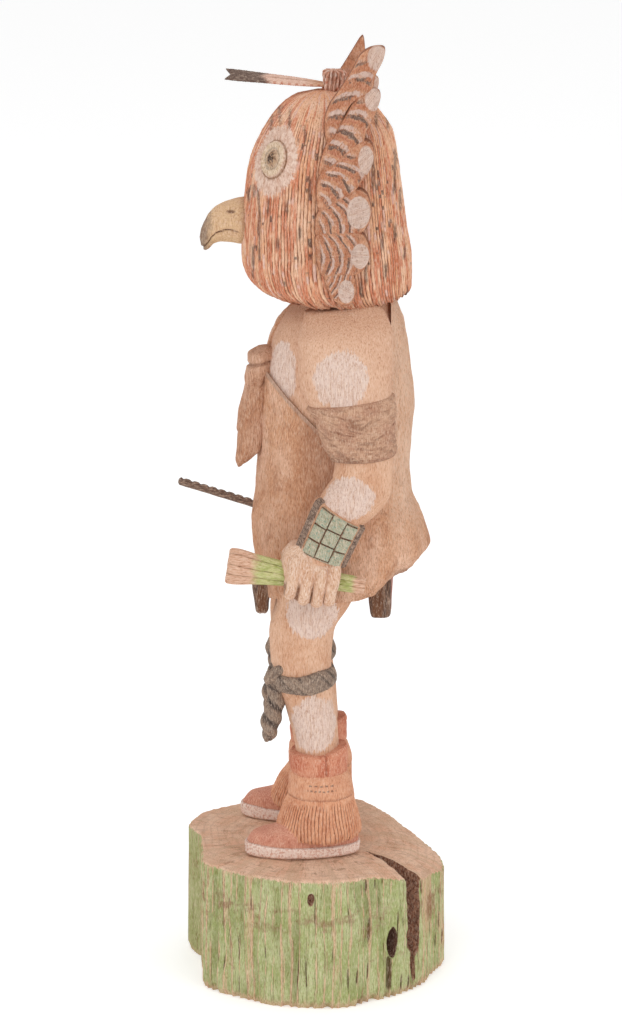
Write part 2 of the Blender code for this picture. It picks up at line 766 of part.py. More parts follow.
def robe_solid():
    """The hide robe: folds below, a flared hem hollowed underneath, and the left side cut bare."""
    rings = []
    for z, front, back, half in ROBE:
        middle = (front + back) / 2
        ring = oval(0.0, middle, z, half, back - middle, ROBE_SIDES, ROBE_SQUARENESS)
        fold = ROBE_FOLD_DEPTH * (1.0 - smooth_step(*ROBE_FOLDS_FADE, z))
        for point in ring:
            outward = Vector((point.x, point.y - middle, 0.0))
            bearing = math.atan2(outward.y, outward.x)
            wave = 0.6 * math.sin(bearing * ROBE_FOLDS + 0.6) + 0.4 * math.sin(bearing * ROBE_BROAD_FOLDS)
            point += outward.normalized() * fold * wave
            if z < ROBE_FLARE_TOP:
                point.z = flare_height(z, bearing)
        rings.append(ring)
    recess = []
    for share, rise in ((HEM_INNER_RING, HEM_RECESS), (HEM_LIP_RING, 0.2)):
        recess.append([
            Vector((point.x * share, mix(HEM_MIDDLE, point.y, share), point.z + rise))
            for point in rings[0]
        ])
    roof = (0.0, HEM_MIDDLE, ROBE[0][0] + HEM_RECESS + HEM_ROOF_RISE)
    robe = skin("robe", recess + rings, root=roof)
    bare = skin("bare_side", [
        [Vector((x, y, z)) for y, z in BARE_SIDE] for x in (BARE_FROM, BARE_TO)
    ])
    return combine(robe, [bare], "DIFFERENCE")


def flare_height(z, bearing):
    """A height in the flare of the robe, whose hem rises behind and waves a little."""
    towards_back = smooth_step(0.2, 0.95, math.sin(bearing))
    hem = mix(ROBE[0][0], ROBE_BACK_HEM, towards_back)
    hem += HEM_WAVE_HEIGHT * math.sin(bearing * HEM_WAVES)
    share = (ROBE_FLARE_TOP - z) / (ROBE_FLARE_TOP - ROBE[0][0])
    return mix(ROBE_FLARE_TOP, hem, share)


def body_parts():
    parts = [stack("body", BODY, 20, squareness=2.2)]
    parts.append(drifting_stack("knot", KNOT, 12))
    parts.append(drifting_stack("near_end", NEAR_END, 8))
    parts.append(drifting_stack("far_end", FAR_END, 8))
    for x, front, back, half, top, bottom in HIDE_TAILS:
        tail = (
            (bottom, front + 1.8, back - 1.6, half - 0.9),
            (bottom + 0.9, front + 1.3, back - 1.1, half),
            (top, front, back, half),
        )
        parts.append(stack("hide_tail", tail, 8, x=x, squareness=4.0))
    return parts


def arm_row(height):
    """The arm's section at a height: across, back, half depth, half width, and its lean."""
    rows = [(row[2], row[0], row[1], row[3], row[4]) for row in ARM]
    z, x, y, half_y, half_x = read_table(rows, height)
    above = read_table(rows, height + 2.0)
    below = read_table(rows, height - 2.0)
    lean = Vector((0.0, above[2] - below[2], above[0] - below[0])).normalized()
    return Vector((x, y, z)), half_y, half_x, lean


def arm_ring(place, half_y, half_x, lean, side, count, start):
    """A ring square to the arm's run, on the doll's left or right side."""
    ring = []
    along = Vector((0.0, lean.z, -lean.y))
    for step in range(count):
        turn = start + 2.0 * math.pi * step / count
        point = place + Vector((half_x * math.cos(turn), 0.0, 0.0)) + along * half_y * math.sin(turn)
        ring.append(Vector((side * point.x, point.y, point.z)))
    return ring


def arm_length(name, heights, proud, side, count=14, start=0.0):
    rings = []
    for height, extra in zip(heights, proud):
        place, half_y, half_x, lean = arm_row(height)
        rings.append(arm_ring(place, half_y + extra, half_x + extra, lean, side, count, start))
    return skin(name, rings)


def band_on_arm(name, top, bottom, proud, side):
    """A raised band around the arm with softened edges."""
    heights = (top, top - BAND_EDGE, (top + bottom) / 2, bottom + BAND_EDGE, bottom)
    rise = (-BAND_EDGE_SUNK, proud, proud, proud, -BAND_EDGE_SUNK)
    return arm_length(name, heights, rise, side, 15, BAND_START)


def fist_parts(side):
    parts = [drifting_stack("fist", FIST, 10, squareness=2.6, side=side)]
    for root, end in zip(FINGER_ROOTS, FINGER_ENDS):
        bend = [
            (x, root + back, end + above, share * FINGER_WIDTH) for x, back, above, share in FINGER_BEND
        ]
        parts.append(bent_rod("finger", bend, side, 6))
    return parts


def bent_rod(name, bend, side, count):
    """A rod of changing radius whose middle line lies in the plane across the doll."""
    rings = []
    for index, (x, y, z, radius) in enumerate(bend):
        before = bend[max(index - 1, 0)]
        after = bend[min(index + 1, len(bend) - 1)]
        run = Vector((after[0] - before[0], after[1] - before[1], after[2] - before[2])).normalized()
        along = Vector((0.0, 1.0, 0.0))
        across = run.cross(along).normalized()
        ring = []
        for step in range(count):
            turn = 2.0 * math.pi * step / count
            point = Vector((x, y, z)) + (across * math.cos(turn) + along * math.sin(turn)) * radius
            ring.append(Vector((side * point.x, point.y, point.z)))
        rings.append(ring)
    return skin(name, rings)


def arm_parts(side):
    heights = [row[2] for row in ARM]
    parts = [arm_length("arm", heights, [0.0] * len(heights), side)]
    parts.append(band_on_arm("wristband", WRISTBAND_TOP, WRISTBAND_BOTTOM, WRISTBAND_PROUD, side))
    parts += fist_parts(side)
    if side > 0:
        parts.append(band_on_arm("armband", ARMBAND_TOP, ARMBAND_BOTTOM, ARMBAND_PROUD, side))
        parts += wristguard_cells()
    else:
        covered = [height for height in heights if SLEEVE_BOTTOM < height < SLEEVE_TOP]
        sleeve_heights = [SLEEVE_TOP] + covered + [SLEEVE_BOTTOM]
        sleeve_proud = [SLEEVE_PROUD] * (len(covered) + 1) + [SLEEVE_PROUD + SLEEVE_LIP]
        parts.append(arm_length("sleeve", sleeve_heights, sleeve_proud, side, 15, BAND_START))
    return parts


def wristguard_cells():
    """The raised cells of the guard on the left wrist, parted by grooves."""
    turn = Matrix.Rotation(-PLATE_SLOPE, 3, "X")
    cells = []
    for row in range(PLATE_ROWS):
        for column in range(PLATE_COLUMNS):
            up = (row - (PLATE_ROWS - 1) / 2) * PLATE_CELL_LENGTH
            back = (column - (PLATE_COLUMNS - 1) / 2) * PLATE_CELL_WIDTH
            drop = PLATE_CURVE if column != (PLATE_COLUMNS - 1) / 2 else 0.0
            place = Vector(PLATE_MIDDLE) + turn @ Vector((-PLATE_SUNK - drop, back, up))
            place.x -= (row - (PLATE_ROWS - 1) / 2) * PLATE_TAPER
            size = (
                PLATE_CELL_DEPTH, PLATE_CELL_WIDTH - PLATE_GROOVE, PLATE_CELL_LENGTH - PLATE_GROOVE
            )
            cells.append(block("cell", size, place, turn))
    return cells


def leg_parts(side):
    x = side * LEG_SPACING
    foot_x = side * FOOT_SPACING
    leg = [(z, y - half_y, y + half_y, half_x) for z, y, half_x, half_y in LEG]
    parts = [stack("leg", leg, 12, x=x)]
    low, high = KNEE_TIE
    tie = []
    tie_profile = (
        (low, -BAND_EDGE_SUNK), (low + KNEE_TIE_EDGE, KNEE_TIE_PROUD),
        (high - KNEE_TIE_EDGE, KNEE_TIE_PROUD), (high, -BAND_EDGE_SUNK),
    )
    for z, proud in tie_profile:
        _, middle, half_x, half_y = read_table(LEG, z)
        tie.append((z, middle - half_y - proud, middle + half_y + proud, half_x + proud))
    parts.append(stack("knee_tie", tie, 12, x=x, start=BAND_START))
    parts.append(stack("knee_tassel", KNEE_TASSEL, 8, x=x + side * TASSEL_OUTWARD))
    knot_x, knot_y, knot_z = KNEE_KNOT_PLACE
    parts.append(ball(
        "knee_knot", x + side * knot_x, knot_y, knot_z, *KNEE_KNOT_SIZE, segments=8, rings=5
    ))
    parts.append(stack("cuff", CUFF, 12, x=foot_x, start=BAND_START))
    parts.append(stack("ankle_band", ANKLE_BAND, 14, x=foot_x, start=2.0 * BAND_START))
    parts.append(stack(
        "fringe", led_forward(FRINGE, side), FRINGE_CUTS * 2, x=foot_x, flutes=FRINGE_CUTS,
        flute_depth=FRINGE_CUT_DEPTH,
    ))
    moccasin = stack("moccasin", led_forward(MOCCASIN, side), 16, x=foot_x, squareness=2.5)
    heel = Matrix.Translation((foot_x, HEEL, 0.0))
    turn = heel @ Matrix.Rotation(side * TOE_OUT, 4, "Z") @ heel.inverted()
    moccasin.data.transform(turn)
    parts.append(moccasin)
    return parts


def led_forward(table, side):
    """A table of the feet; on the right its low rows lie a little further forward."""
    rows = []
    for z, front, back, half in table:
        lead = FAR_FOOT_LEAD * (1.0 - smooth_step(*LEAD_HEIGHTS, z)) if side < 0 else 0.0
        rows.append((z, front - lead, back - lead, half))
    return rows


def make_figure():
    groups = [head_parts(), [robe_solid()] + body_parts()]
    for side in (1.0, -1.0):
        groups += [arm_parts(side), leg_parts(side)]
    joined = [combine(group[0], group[1:], "UNION") for group in groups]
    figure = combine(joined[1], joined[:1] + joined[2:], "UNION")
    fill_inside(figure)
    join_flat_faces(figure)
    lift = Matrix.Translation((0.0, 0.0, SOLE_LEVEL - SOLE * UNIT))
    figure.data.transform(lift @ Matrix.Scale(UNIT, 4))
    seat = tie_cylinder("tie_seat", SEAT_GAP, TIE_HEIGHT)
    grips = [bundle_solid("bundle_grip", GRIP_GAP), stick_solid("stick_grip", GRIP_GAP)]
    combine(figure, [seat] + grips, "DIFFERENCE")
    return finish_piece(figure, "figure", painted_wood)


def tie_foot():
    """The middle of the underside of the tie on the crown, in its shallow seat."""
    crown = figure_point(0.0, TIE_BACK, HEAD_TOP - TIE_SINK)
    return crown - Vector((0.0, 0.0, TIE_SEAT_DEPTH))


def tie_cylinder(name, clearance, height):
    foot = tie_foot()
    bpy.ops.mesh.primitive_cylinder_add(
        vertices=24, radius=TIE_WIDTH / 2 + clearance, depth=height + clearance,
        location=foot + Vector((0.0, 0.0, (height - clearance) / 2)),
    )
    thing = bpy.context.object
    thing.name = name
    return thing


def make_tie():
    foot = tie_foot()
    radius = TIE_WIDTH / 2
    rings = []
    groove = radius * TIE_GROOVE_SHARE
    for height, share in TIE_PROFILE:
        z = foot.z + height * TIE_HEIGHT
        reach = radius * share
        rings.append(oval(
            foot.x, foot.y, z, reach, reach, 2 * TIE_GROOVES, flutes=TIE_GROOVES, flute_depth=groove
        ))
    tie = skin("crown_tie", rings, tip=foot + Vector((0.0, 0.0, TIE_HEIGHT * TIE_TOP)))
    slot = feather_solid("feather_slot", SEAT_GAP)
    combine(tie, [slot], "DIFFERENCE")
    return finish_piece(tie, "crown_tie", tie_wood)


def feather_solid(name, clearance):
    """The flat feather: a vane that widens forward to a notched tip, along its own slope."""
    left = []
    for share, width in FEATHER_OUTLINE:
        along = share * FEATHER_LENGTH + (2.0 * share - 1.0) * clearance
        left.append((along, width * FEATHER_WIDTH / 2 + clearance))
    notch = (FEATHER_LENGTH - FEATHER_NOTCH, 0.0)
    points = left + [notch] + [(along, -reach) for along, reach in reversed(left)]
    tie_front = tie_foot() + Vector((0.0, -TIE_WIDTH / 2, TIE_HEIGHT * FEATHER_PLACE))
    tilt = Matrix.Rotation(-FEATHER_RISE, 3, "X") @ Matrix.Rotation(FEATHER_ROLL, 3, "Y")
    rings = []
    for face in (-0.5, 0.5):
        level = face * (FEATHER_THICKNESS + 2.0 * clearance)
        ring = []
        for along, reach in points:
            ring.append(tie_front + tilt @ Vector((reach, FEATHER_TUCK - along, level)))
        rings.append(ring)
    return skin(name, rings)


def make_feather():
    feather = feather_solid("forehead_feather", 0.0)
    return finish_piece(feather, "forehead_feather", feather_paint)


def bundle_solid(name, clearance):
    """The bundle of stems from its wide butt in front to its narrow tip behind the fist."""
    rings = []
    middle = figure_point(*GRIP_MIDDLE)
    run = Vector((0.0, math.cos(BUNDLE_SLOPE), -math.sin(BUNDLE_SLOPE)))
    rise = Vector((0.0, math.sin(BUNDLE_SLOPE), math.cos(BUNDLE_SLOPE)))
    butt = BUNDLE_BUTT / 2 + clearance
    tip = BUNDLE_TIP / 2 + clearance
    for share, thickness in BUNDLE_TAPER:
        reach = mix(tip, butt, thickness)
        spot = middle + run * (share - BUNDLE_AHEAD) * BUNDLE_LENGTH
        ring = []
        count = BUNDLE_STEMS * 2
        for step in range(count):
            turn = 2.0 * math.pi * step / count
            size = reach * (1.0 if step % 2 or clearance else 1.0 - STEM_GROOVE)
            across = Vector((BUNDLE_FLATNESS * size * math.cos(turn), 0.0, 0.0))
            ring.append(spot + across + rise * size * math.sin(turn))
        rings.append(ring)
    return skin(name, rings)


def make_bundle():
    bundle = bundle_solid("yucca_bundle", 0.0)
    return finish_piece(bundle, "yucca_bundle", green_paint)


def stick_solid(name, clearance):
    """The thin stick through the right fist, its upper side notched; with a clearance it is plain."""
    grip_x, grip_y, grip_z = GRIP_MIDDLE
    middle = figure_point(-grip_x, grip_y + STICK_BACK, grip_z + STICK_UP)
    run = Vector((0.0, -math.cos(STICK_SLOPE), math.sin(STICK_SLOPE)))
    rise = Vector((0.0, math.sin(STICK_SLOPE), math.cos(STICK_SLOPE)))
    radius = STICK_DIAMETER / 2 + clearance
    steps = 1 if clearance else 2 * STICK_NOTCHES
    rings = []
    for index in range(steps + 1):
        spot = middle + run * (STICK_AHEAD - index / steps) * STICK_LENGTH
        dip = STICK_NOTCH_DEPTH if index % 2 and not clearance else 0.0
        ring = []
        for step in range(STICK_SIDES):
            turn = 2.0 * math.pi * step / STICK_SIDES
            up = radius * math.sin(turn)
            if up > 0.0:
                up -= dip
            ring.append(spot + Vector((radius * math.cos(turn), 0.0, 0.0)) + rise * up)
        rings.append(ring)
    return skin(name, rings)


def make_stick():
    stick = stick_solid("hand_stick", 0.0)
    return finish_piece(stick, "hand_stick", dark_wood)


remove_everything()
doll = new_collection("kachina_doll")
cutters = new_collection("cutters")
root_wood = material("root_wood", (0.43, 0.40, 0.21), 0.9)
painted_wood = material("painted_wood", (0.56, 0.33, 0.22), 0.85)
tie_wood = material("tie_wood", (0.62, 0.37, 0.28), 0.85)
feather_paint = material("feather_paint", (0.20, 0.14, 0.11), 0.8)
green_paint = material("green_paint", (0.45, 0.43, 0.20), 0.85)
dark_wood = material("dark_wood", (0.18, 0.12, 0.10), 0.8)
make_base()
make_figure()
make_tie()
make_feather()
make_bundle()
make_stick()
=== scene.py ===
"""Looks of the owl dancer doll: carved cottonwood root, washed with earth colours.

Lengths in the tables are millimetres, as a carver would measure them from under the base; the
doll faces -Y and its own left side is +X. Everything is made where the frame's nodes stand.
"""

import math

import bmesh
import bpy
import numpy as np
from mathutils import Matrix, Vector


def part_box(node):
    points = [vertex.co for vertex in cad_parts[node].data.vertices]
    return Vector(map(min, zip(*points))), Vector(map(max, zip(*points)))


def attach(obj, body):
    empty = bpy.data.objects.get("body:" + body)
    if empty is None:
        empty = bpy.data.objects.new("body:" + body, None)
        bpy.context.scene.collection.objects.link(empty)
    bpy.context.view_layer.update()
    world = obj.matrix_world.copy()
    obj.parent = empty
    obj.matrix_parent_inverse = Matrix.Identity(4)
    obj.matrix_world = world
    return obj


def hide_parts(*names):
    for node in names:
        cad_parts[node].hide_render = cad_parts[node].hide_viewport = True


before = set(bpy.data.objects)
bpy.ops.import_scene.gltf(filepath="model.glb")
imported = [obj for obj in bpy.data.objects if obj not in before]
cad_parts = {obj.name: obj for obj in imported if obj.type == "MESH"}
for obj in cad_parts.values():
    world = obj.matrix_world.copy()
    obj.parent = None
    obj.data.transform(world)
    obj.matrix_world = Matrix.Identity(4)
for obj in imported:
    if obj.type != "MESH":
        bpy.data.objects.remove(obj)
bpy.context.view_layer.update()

# The figure's tables run from its soles, at 47, to the tip of its highest feather, at 326.3
SOLE = 47.0
TIP = 326.3
figure_low, figure_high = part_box("figure")
MM = (figure_high.z - figure_low.z) / (TIP - SOLE)
BASE_LOW, BASE_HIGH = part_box("base")

# Camera: in front of the doll's left side, looking along -X and a little down
CAMERA_PLACE = (1.2, -0.00124, 0.490)
CAMERA_DOWN = math.radians(15.193)
CAMERA_LENS = 127.07
CAMERA_SENSOR = 36.0


def numbers(seed, count):
    """A fixed row of values between 0 and 1."""
    return np.random.default_rng(seed).random(count)


def ramp(low, high, value):
    """0 below low, 1 above high, smooth between; it runs the other way when low is over high."""
    t = np.clip((value - low) / (high - low), 0.0, 1.0)
    return t * t * (3.0 - 2.0 * t)


def blend(a, b, t):
    return a + (b - a) * t


def lumps(points, size, seed=0):
    """Smooth unevenness between -1 and 1 at each point; size is that of a lump in each direction."""
    scaled = np.asarray(points, dtype=float) / np.array(size, dtype=float) + seed * 17.13
    cell = np.floor(scaled).astype(np.int64)
    t = scaled - cell
    t = t * t * (3.0 - 2.0 * t)
    total = np.zeros(scaled.shape[:-1])
    for corner in range(8):
        step = np.array([corner & 1, corner >> 1 & 1, corner >> 2 & 1])
        key = (cell + step) * np.array([374761393, 668265263, 1442695041])
        mixed = key.sum(axis=-1)
        mixed = (mixed ^ (mixed >> 13)) * 1274126177
        mixed = (mixed ^ (mixed >> 16)) & 0xFFFF
        weight = np.where(step, t, 1.0 - t).prod(axis=-1)
        total += weight * (mixed / 32767.5 - 1.0)
    return total


def smooth_rows(table, keys):
    """The columns of a table at keys, on a smooth curve that never swings past its rows."""
    rows = np.array(sorted(table), dtype=float)
    x = rows[:, 0]
    keys = np.clip(np.asarray(keys, dtype=float), x[0], x[-1])
    gap = np.diff(x)
    index = np.clip(np.searchsorted(x, keys, side="right") - 1, 0, len(x) - 2)
    t = (keys - x[index]) / gap[index]
    columns = []
    for column in rows.T[1:]:
        rise = np.diff(column) / gap
        slope = np.concatenate([rise[:1], np.zeros(len(x) - 2), rise[-1:]])
        same = rise[:-1] * rise[1:] > 0.0
        slope[1:-1][same] = 2.0 * (rise[:-1] * rise[1:])[same] / (rise[:-1] + rise[1:])[same]
        a, b = column[index], column[index + 1]
        start, end = slope[index] * gap[index], slope[index + 1] * gap[index]
        rest = 1.0 - t
        columns.append(
            rest * rest * ((1.0 + 2.0 * t) * a + t * start) + t * t * ((3.0 - 2.0 * t) * b - rest * end)
        )
    return columns


def oval(x, y, half_x, half_y, turn, squareness=2.0):
    """Points of level ovals; rows of sizes against a row of angles."""
    across = np.sign(np.cos(turn)) * np.abs(np.cos(turn)) ** (2.0 / squareness)
    along = np.sign(np.sin(turn)) * np.abs(np.sin(turn)) ** (2.0 / squareness)
    return x + half_x * across, y + half_y * along


def turns(count):
    return np.linspace(0.0, 2.0 * math.pi, count, endpoint=False)


def smooth_outline(points, each):
    """A closed smooth curve through points, with each stretch cut into as many as each says."""
    points = np.array(points, dtype=float)
    before, after, later = (np.roll(points, shift, axis=0) for shift in (1, -1, -2))
    t = (np.arange(each) / each)[None, :, None]
    a, b, c, d = (side[:, None, :] for side in (before, points, after, later))
    curve = 0.5 * (
        2.0 * b + (c - a) * t + (2.0 * a - 5.0 * b + 4.0 * c - d) * t ** 2
        + (3.0 * b - a - 3.0 * c + d) * t ** 3
    )
    return curve.reshape(-1, points.shape[1])


def outward(rings):
    """The direction square to a skin of rings, at each of its points."""
    around = np.roll(rings, -1, axis=1) - np.roll(rings, 1, axis=1)
    up = np.gradient(rings, axis=0)
    normal = np.cross(around, up)
    normal /= np.maximum(np.linalg.norm(normal, axis=-1, keepdims=True), 1e-9)
    middle = rings.mean(axis=1, keepdims=True)
    if (normal * (rings - middle)).sum() < 0.0:
        normal = -normal
    return normal


def carve(rings, relief):
    """Raises a skin of rings by a relief, square to itself."""
    return rings + outward(rings) * relief[..., None]


def mesh_piece(name, points, faces, marks=None):
    """An object from points in millimetres, its faces pointing out, with a value for each mark."""
    mesh = bpy.data.meshes.new(name)
    mesh.from_pydata((points * MM + ORIGIN).tolist(), [], faces)
    worker = bmesh.new()
    worker.from_mesh(mesh)
    if worker.calc_volume(signed=True) < 0.0:
        bmesh.ops.reverse_faces(worker, faces=worker.faces)
        worker.to_mesh(mesh)
    worker.free()
    for mark, values in (marks or {}).items():
        layer = mesh.attributes.new(mark, "FLOAT", "POINT")
        layer.data.foreach_set("value", np.asarray(values, dtype=np.float32))
    piece = bpy.data.objects.new(name, mesh)
    bpy.context.scene.collection.objects.link(piece)
    return piece


# Where height 0 of the tables lies in the frame
ORIGIN = np.array([0.0, 0.0, figure_low.z - SOLE * MM])


def loft(name, rings, marks=None, tip=None, root=None):
    """A closed skin through rings, both ends closed to a point in their middle or to one given."""
    rows, count = rings.shape[:2]
    index = np.arange(rows * count).reshape(rows, count)
    after = np.roll(index, -1, axis=1)
    quads = np.stack([index[:-1], after[:-1], after[1:], index[1:]], axis=-1).reshape(-1, 4)
    low_point, high_point = rows * count, rows * count + 1
    ends = [
        rings[0].mean(axis=0) if root is None else np.array(root, dtype=float),
        rings[-1].mean(axis=0) if tip is None else np.array(tip, dtype=float),
    ]
    points = np.concatenate([rings.reshape(-1, 3), ends])
    low = np.stack([after[0], index[0], np.full(count, low_point)], axis=-1)
    high = np.stack([index[-1], after[-1], np.full(count, high_point)], axis=-1)
    faces = quads.tolist() + low.tolist() + high.tolist()
    values = {}
    for mark, value in (marks or {}).items():
        flat = np.broadcast_to(value, (rows, count))
        values[mark] = np.concatenate([flat.reshape(-1), [flat[0].mean(), flat[-1].mean()]])
    return mesh_piece(name, points, faces, values)


def stack_rings(table, heights, turn, x=0.0, squareness=2.0):
    """Rings through level ovals given as height, front, back, half width."""
    front, back, half = smooth_rows(table, heights)
    middle = (front + back) / 2
    px, py = oval(
        x, middle[:, None], half[:, None], (back - middle)[:, None], turn[None, :], squareness
    )
    pz = np.broadcast_to(np.asarray(heights, dtype=float)[:, None], px.shape)
    return np.stack([px, py, pz], axis=-1)


def finished(piece, node, finish, sharp=60.0):
    """Gives a piece its finish and its place among the frame's bodies."""
    piece.data.materials.append(finish)
    piece.data.shade_smooth()
    piece.data.set_sharp_from_angle(angle=math.radians(sharp))
    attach(piece, "root")
    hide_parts(node)
    return piece


class Value:
    """A value that changes over a surface. Arithmetic on it adds Math nodes to its finish."""

    def __init__(self, finish, socket):
        self.finish = finish
        self.socket = socket

    def math(self, operation, first, second=0.0):
        settings = {"operation": operation}
        return self.finish.node("ShaderNodeMath", settings, {0: first, 1: second})

    def __add__(self, other):
        return self.math("ADD", self, other)

    __radd__ = __add__

    def __sub__(self, other):
        return self.math("SUBTRACT", self, other)

    def __rsub__(self, other):
        return self.math("SUBTRACT", other, self)

    def __mul__(self, other):
        return self.math("MULTIPLY", self, other)

    __rmul__ = __mul__

    def __truediv__(self, other):
        return self.math("DIVIDE", self, other)

    def __rtruediv__(self, other):
        return self.math("DIVIDE", other, self)

    def __pow__(self, other):
        return self.math("POWER", self, other)

    def __abs__(self):
        return self.math("ABSOLUTE", self)

    def ramp(self, low, high):
        """0 at low and 1 at high, smooth between, and the other way when low is over high."""
        ends = {0: self, 1: low, 2: high, 3: 0.0, 4: 1.0}
        if low > high:
            ends = {0: self, 1: high, 2: low, 3: 1.0, 4: 0.0}
        return self.finish.node("ShaderNodeMapRange", {"interpolation_type": "SMOOTHSTEP"}, ends)


def paint(red, green, blue):
    """A colour given as a painter's 0 to 255 mix, as the light values that a shader takes."""
    mix = []
    for part in (red, green, blue):
        part = part / 255.0
        mix.append(part / 12.92 if part <= 0.04045 else ((part + 0.055) / 1.055) ** 2.4)
    return (*mix, 1.0)


# Open pores of the dry cottonwood under every wash
PORE_SIZE = (0.36, 0.36, 1.8)
PORE_ALONG = (0.36, 1.8, 0.36)
PORE_SHADE = paint(196, 160, 138)
PORE_RIM = paint(240, 214, 192)


class Finish:
    """One procedural finish: a Principled shader and the nodes that feed it."""

    def __init__(self, name, roughness=0.85):
        self.material = bpy.data.materials.new(name)
        self.material.use_nodes = True
        self.tree = self.material.node_tree
        self.shader = self.tree.nodes["Principled BSDF"]
        self.shader.inputs["Roughness"].default_value = roughness
        self.shader.inputs["Specular IOR Level"].default_value = 0.25
        metres = self.node("ShaderNodeTexCoord", output="Object")
        self.place = self.vector("SCALE", metres, scale=1000.0)

    def node(self, kind, settings=None, inputs=None, output=0):
        """Adds a node, sets its settings, then its sockets' values or links."""
        made = self.tree.nodes.new(kind)
        for setting, value in (settings or {}).items():
            setattr(made, setting, value)
        for socket, value in (inputs or {}).items():
            if isinstance(value, Value):
                self.tree.links.new(value.socket, made.inputs[socket])
            else:
                made.inputs[socket].default_value = value
        return Value(self, made.outputs[output])

    def vector(self, operation, first, second=None, scale=None):
        inputs = {0: first}
        if second is not None:
            inputs[1] = second
        if scale is not None:
            inputs["Scale"] = scale
        return self.node("ShaderNodeVectorMath", {"operation": operation}, inputs)

    def mark(self, name):
        """A value that the mesh carries at its points."""
        return self.node("ShaderNodeAttribute", {"attribute_name": name}, output="Fac")

    def axis(self, which):
        """The place along X, Y or Z, in millimetres."""
        return self.node("ShaderNodeSeparateXYZ", None, {0: self.place}, output=which)

    def noise(self, size, detail=2.0, roughness=0.5, shift=0.0, at=None):
        """Uneven values, about 0.5 in the middle; size is that of a lump in millimetres."""
        spread = tuple(1.0 / one for one in size)
        spot = self.vector("MULTIPLY", self.place if at is None else at, spread)
        spot = self.vector("ADD", spot, (shift, shift * 0.7, shift * 1.3))
        inputs = {"Vector": spot, "Scale": 1.0, "Detail": detail, "Roughness": roughness}
        return self.node("ShaderNodeTexNoise", None, inputs)

    def mix(self, share, first, second, way="MIX"):
        """Two colours mixed by a share."""
        settings = {"data_type": "RGBA", "blend_type": way}
        return self.node("ShaderNodeMix", settings, {0: share, 6: first, 7: second}, output=2)

    def near(self, middle, size):
        """Distance from a spot, 1 at the sizes given."""
        away = self.vector("SUBTRACT", self.place, middle)
        away = self.vector("MULTIPLY", away, tuple(1.0 / one for one in size))
        return self.node("ShaderNodeVectorMath", {"operation": "LENGTH"}, {0: away}, output="Value")

    def wear(self, colour, height, depth=0.25, grain=PORE_SIZE):
        """Links the colour and a relief in millimetres, both broken by the wood's open pores."""
        pores = self.noise(grain, 3.0, 0.72, shift=47.0)
        colour = self.mix(pores.ramp(0.47, 0.34) * 0.62, colour, PORE_SHADE, "MULTIPLY")
        colour = self.mix(pores.ramp(0.51, 0.64) * 0.36, colour, PORE_RIM)
        self.tree.links.new(colour.socket, self.shader.inputs["Base Color"])
        inputs = {"Height": height + pores * 1.5, "Strength": 1.0, "Distance": depth * MM}
        bump = self.node("ShaderNodeBump", None, inputs)
        self.tree.links.new(bump.socket, self.shader.inputs["Normal"])
        return self.material


# Colours of the washes and of the bare wood
HEAD_TAN = paint(230, 172, 133)
HEAD_LIGHT = paint(240, 198, 166)
HEAD_RED = paint(204, 116, 82)
# mid brown for flecks, strokes, the feather's spine and the mask's rim; also painted shade in grooves, seams and at
# the beak's root
GROOVE_BROWN = paint(140, 82, 55)
CHALK = paint(226, 190, 178)
CHALK_WARM = paint(222, 178, 156)
SOOT = paint(92, 74, 66)
SKIN_TAN = paint(210, 160, 128)
SKIN_LIGHT = paint(224, 180, 150)
SKIN_BROWN = paint(186, 132, 100)
HIDE_TAN = paint(214, 158, 121)
HIDE_DARK = paint(164, 108, 78)
HIDE_LIGHT = paint(238, 194, 165)
BEAK_TAN = paint(216, 180, 140)
BEAK_GREY = paint(128, 106, 92)

# Head, an owl mask: height, front, back, half width
HEAD = (
    (241.8, -14.5, 32.2, 23.6),
    (243.0, -19.0, 32.8, 24.6),
    (247.0, -22.9, 32.8, 25.2),
    (254.0, -24.6, 32.6, 25.5),
    (265.0, -24.5, 31.1, 25.2),
    (276.0, -23.6, 29.6, 24.2),
    (287.0, -21.7, 28.0, 22.7),
    (296.0, -17.9, 26.2, 20.0),
    (303.0, -13.1, 21.8, 15.8),
    (307.0, -9.0, 17.4, 11.0),
    (309.4, -4.0, 12.0, 6.2),
)
HEAD_TOP = 310.2
HEAD_TOP_BACK = 3.2
HEAD_SQUARENESS = 2.15
HEAD_GROOVES = 144
HEAD_GROOVE_DEPTH = 0.75
HEAD_POINTS_A_GROOVE = 5
HEAD_ROWS = 80
RIM_DIP = 2.6

EYE_PLACE = (16.2, -13.9, 289.5)
EYE_DISC = 12.4
# The eye is narrower than tall by these shares: its ring, its disc of chalk
EYE_NARROW = 0.82
DISC_NARROW = 0.74
EYE_RING = 5.9
PUPIL = (1.9, 1.9, 2.7)

BEAK = (
    (-18.0, 266.4, 7.4, 8.0),
    (-24.5, 265.8, 7.7, 7.8),
    (-28.0, 265.6, 7.1, 6.8),
    (-31.5, 265.1, 6.4, 5.5),
    (-33.9, 264.0, 6.0, 4.5),
    (-35.6, 262.3, 5.9, 3.4),
    (-37.2, 260.6, 4.8, 2.3),
    (-38.3, 260.1, 2.8, 1.2),
)
BEAK_TIP = (0.0, -38.8, 260.2)


def head_rings():
    """Rings of the mask, smooth, with its lower rim dipping at the sides."""
    heights = 310.0 - (310.0 - HEAD[0][0]) * np.linspace(1.0, 0.0, HEAD_ROWS) ** 0.9
    turn = turns(HEAD_GROOVES * HEAD_POINTS_A_GROOVE)
    table = HEAD + ((310.1, -0.5, 7.0, 3.6),)
    rings = stack_rings(table, heights, turn, squareness=HEAD_SQUARENESS)
    side = np.abs(np.cos(turn))[None, :] ** 2
    low = ramp(258.0, 242.0, heights)[:, None]
    rings[..., 2] -= low * (side * RIM_DIP - 1.0)
    return rings, turn


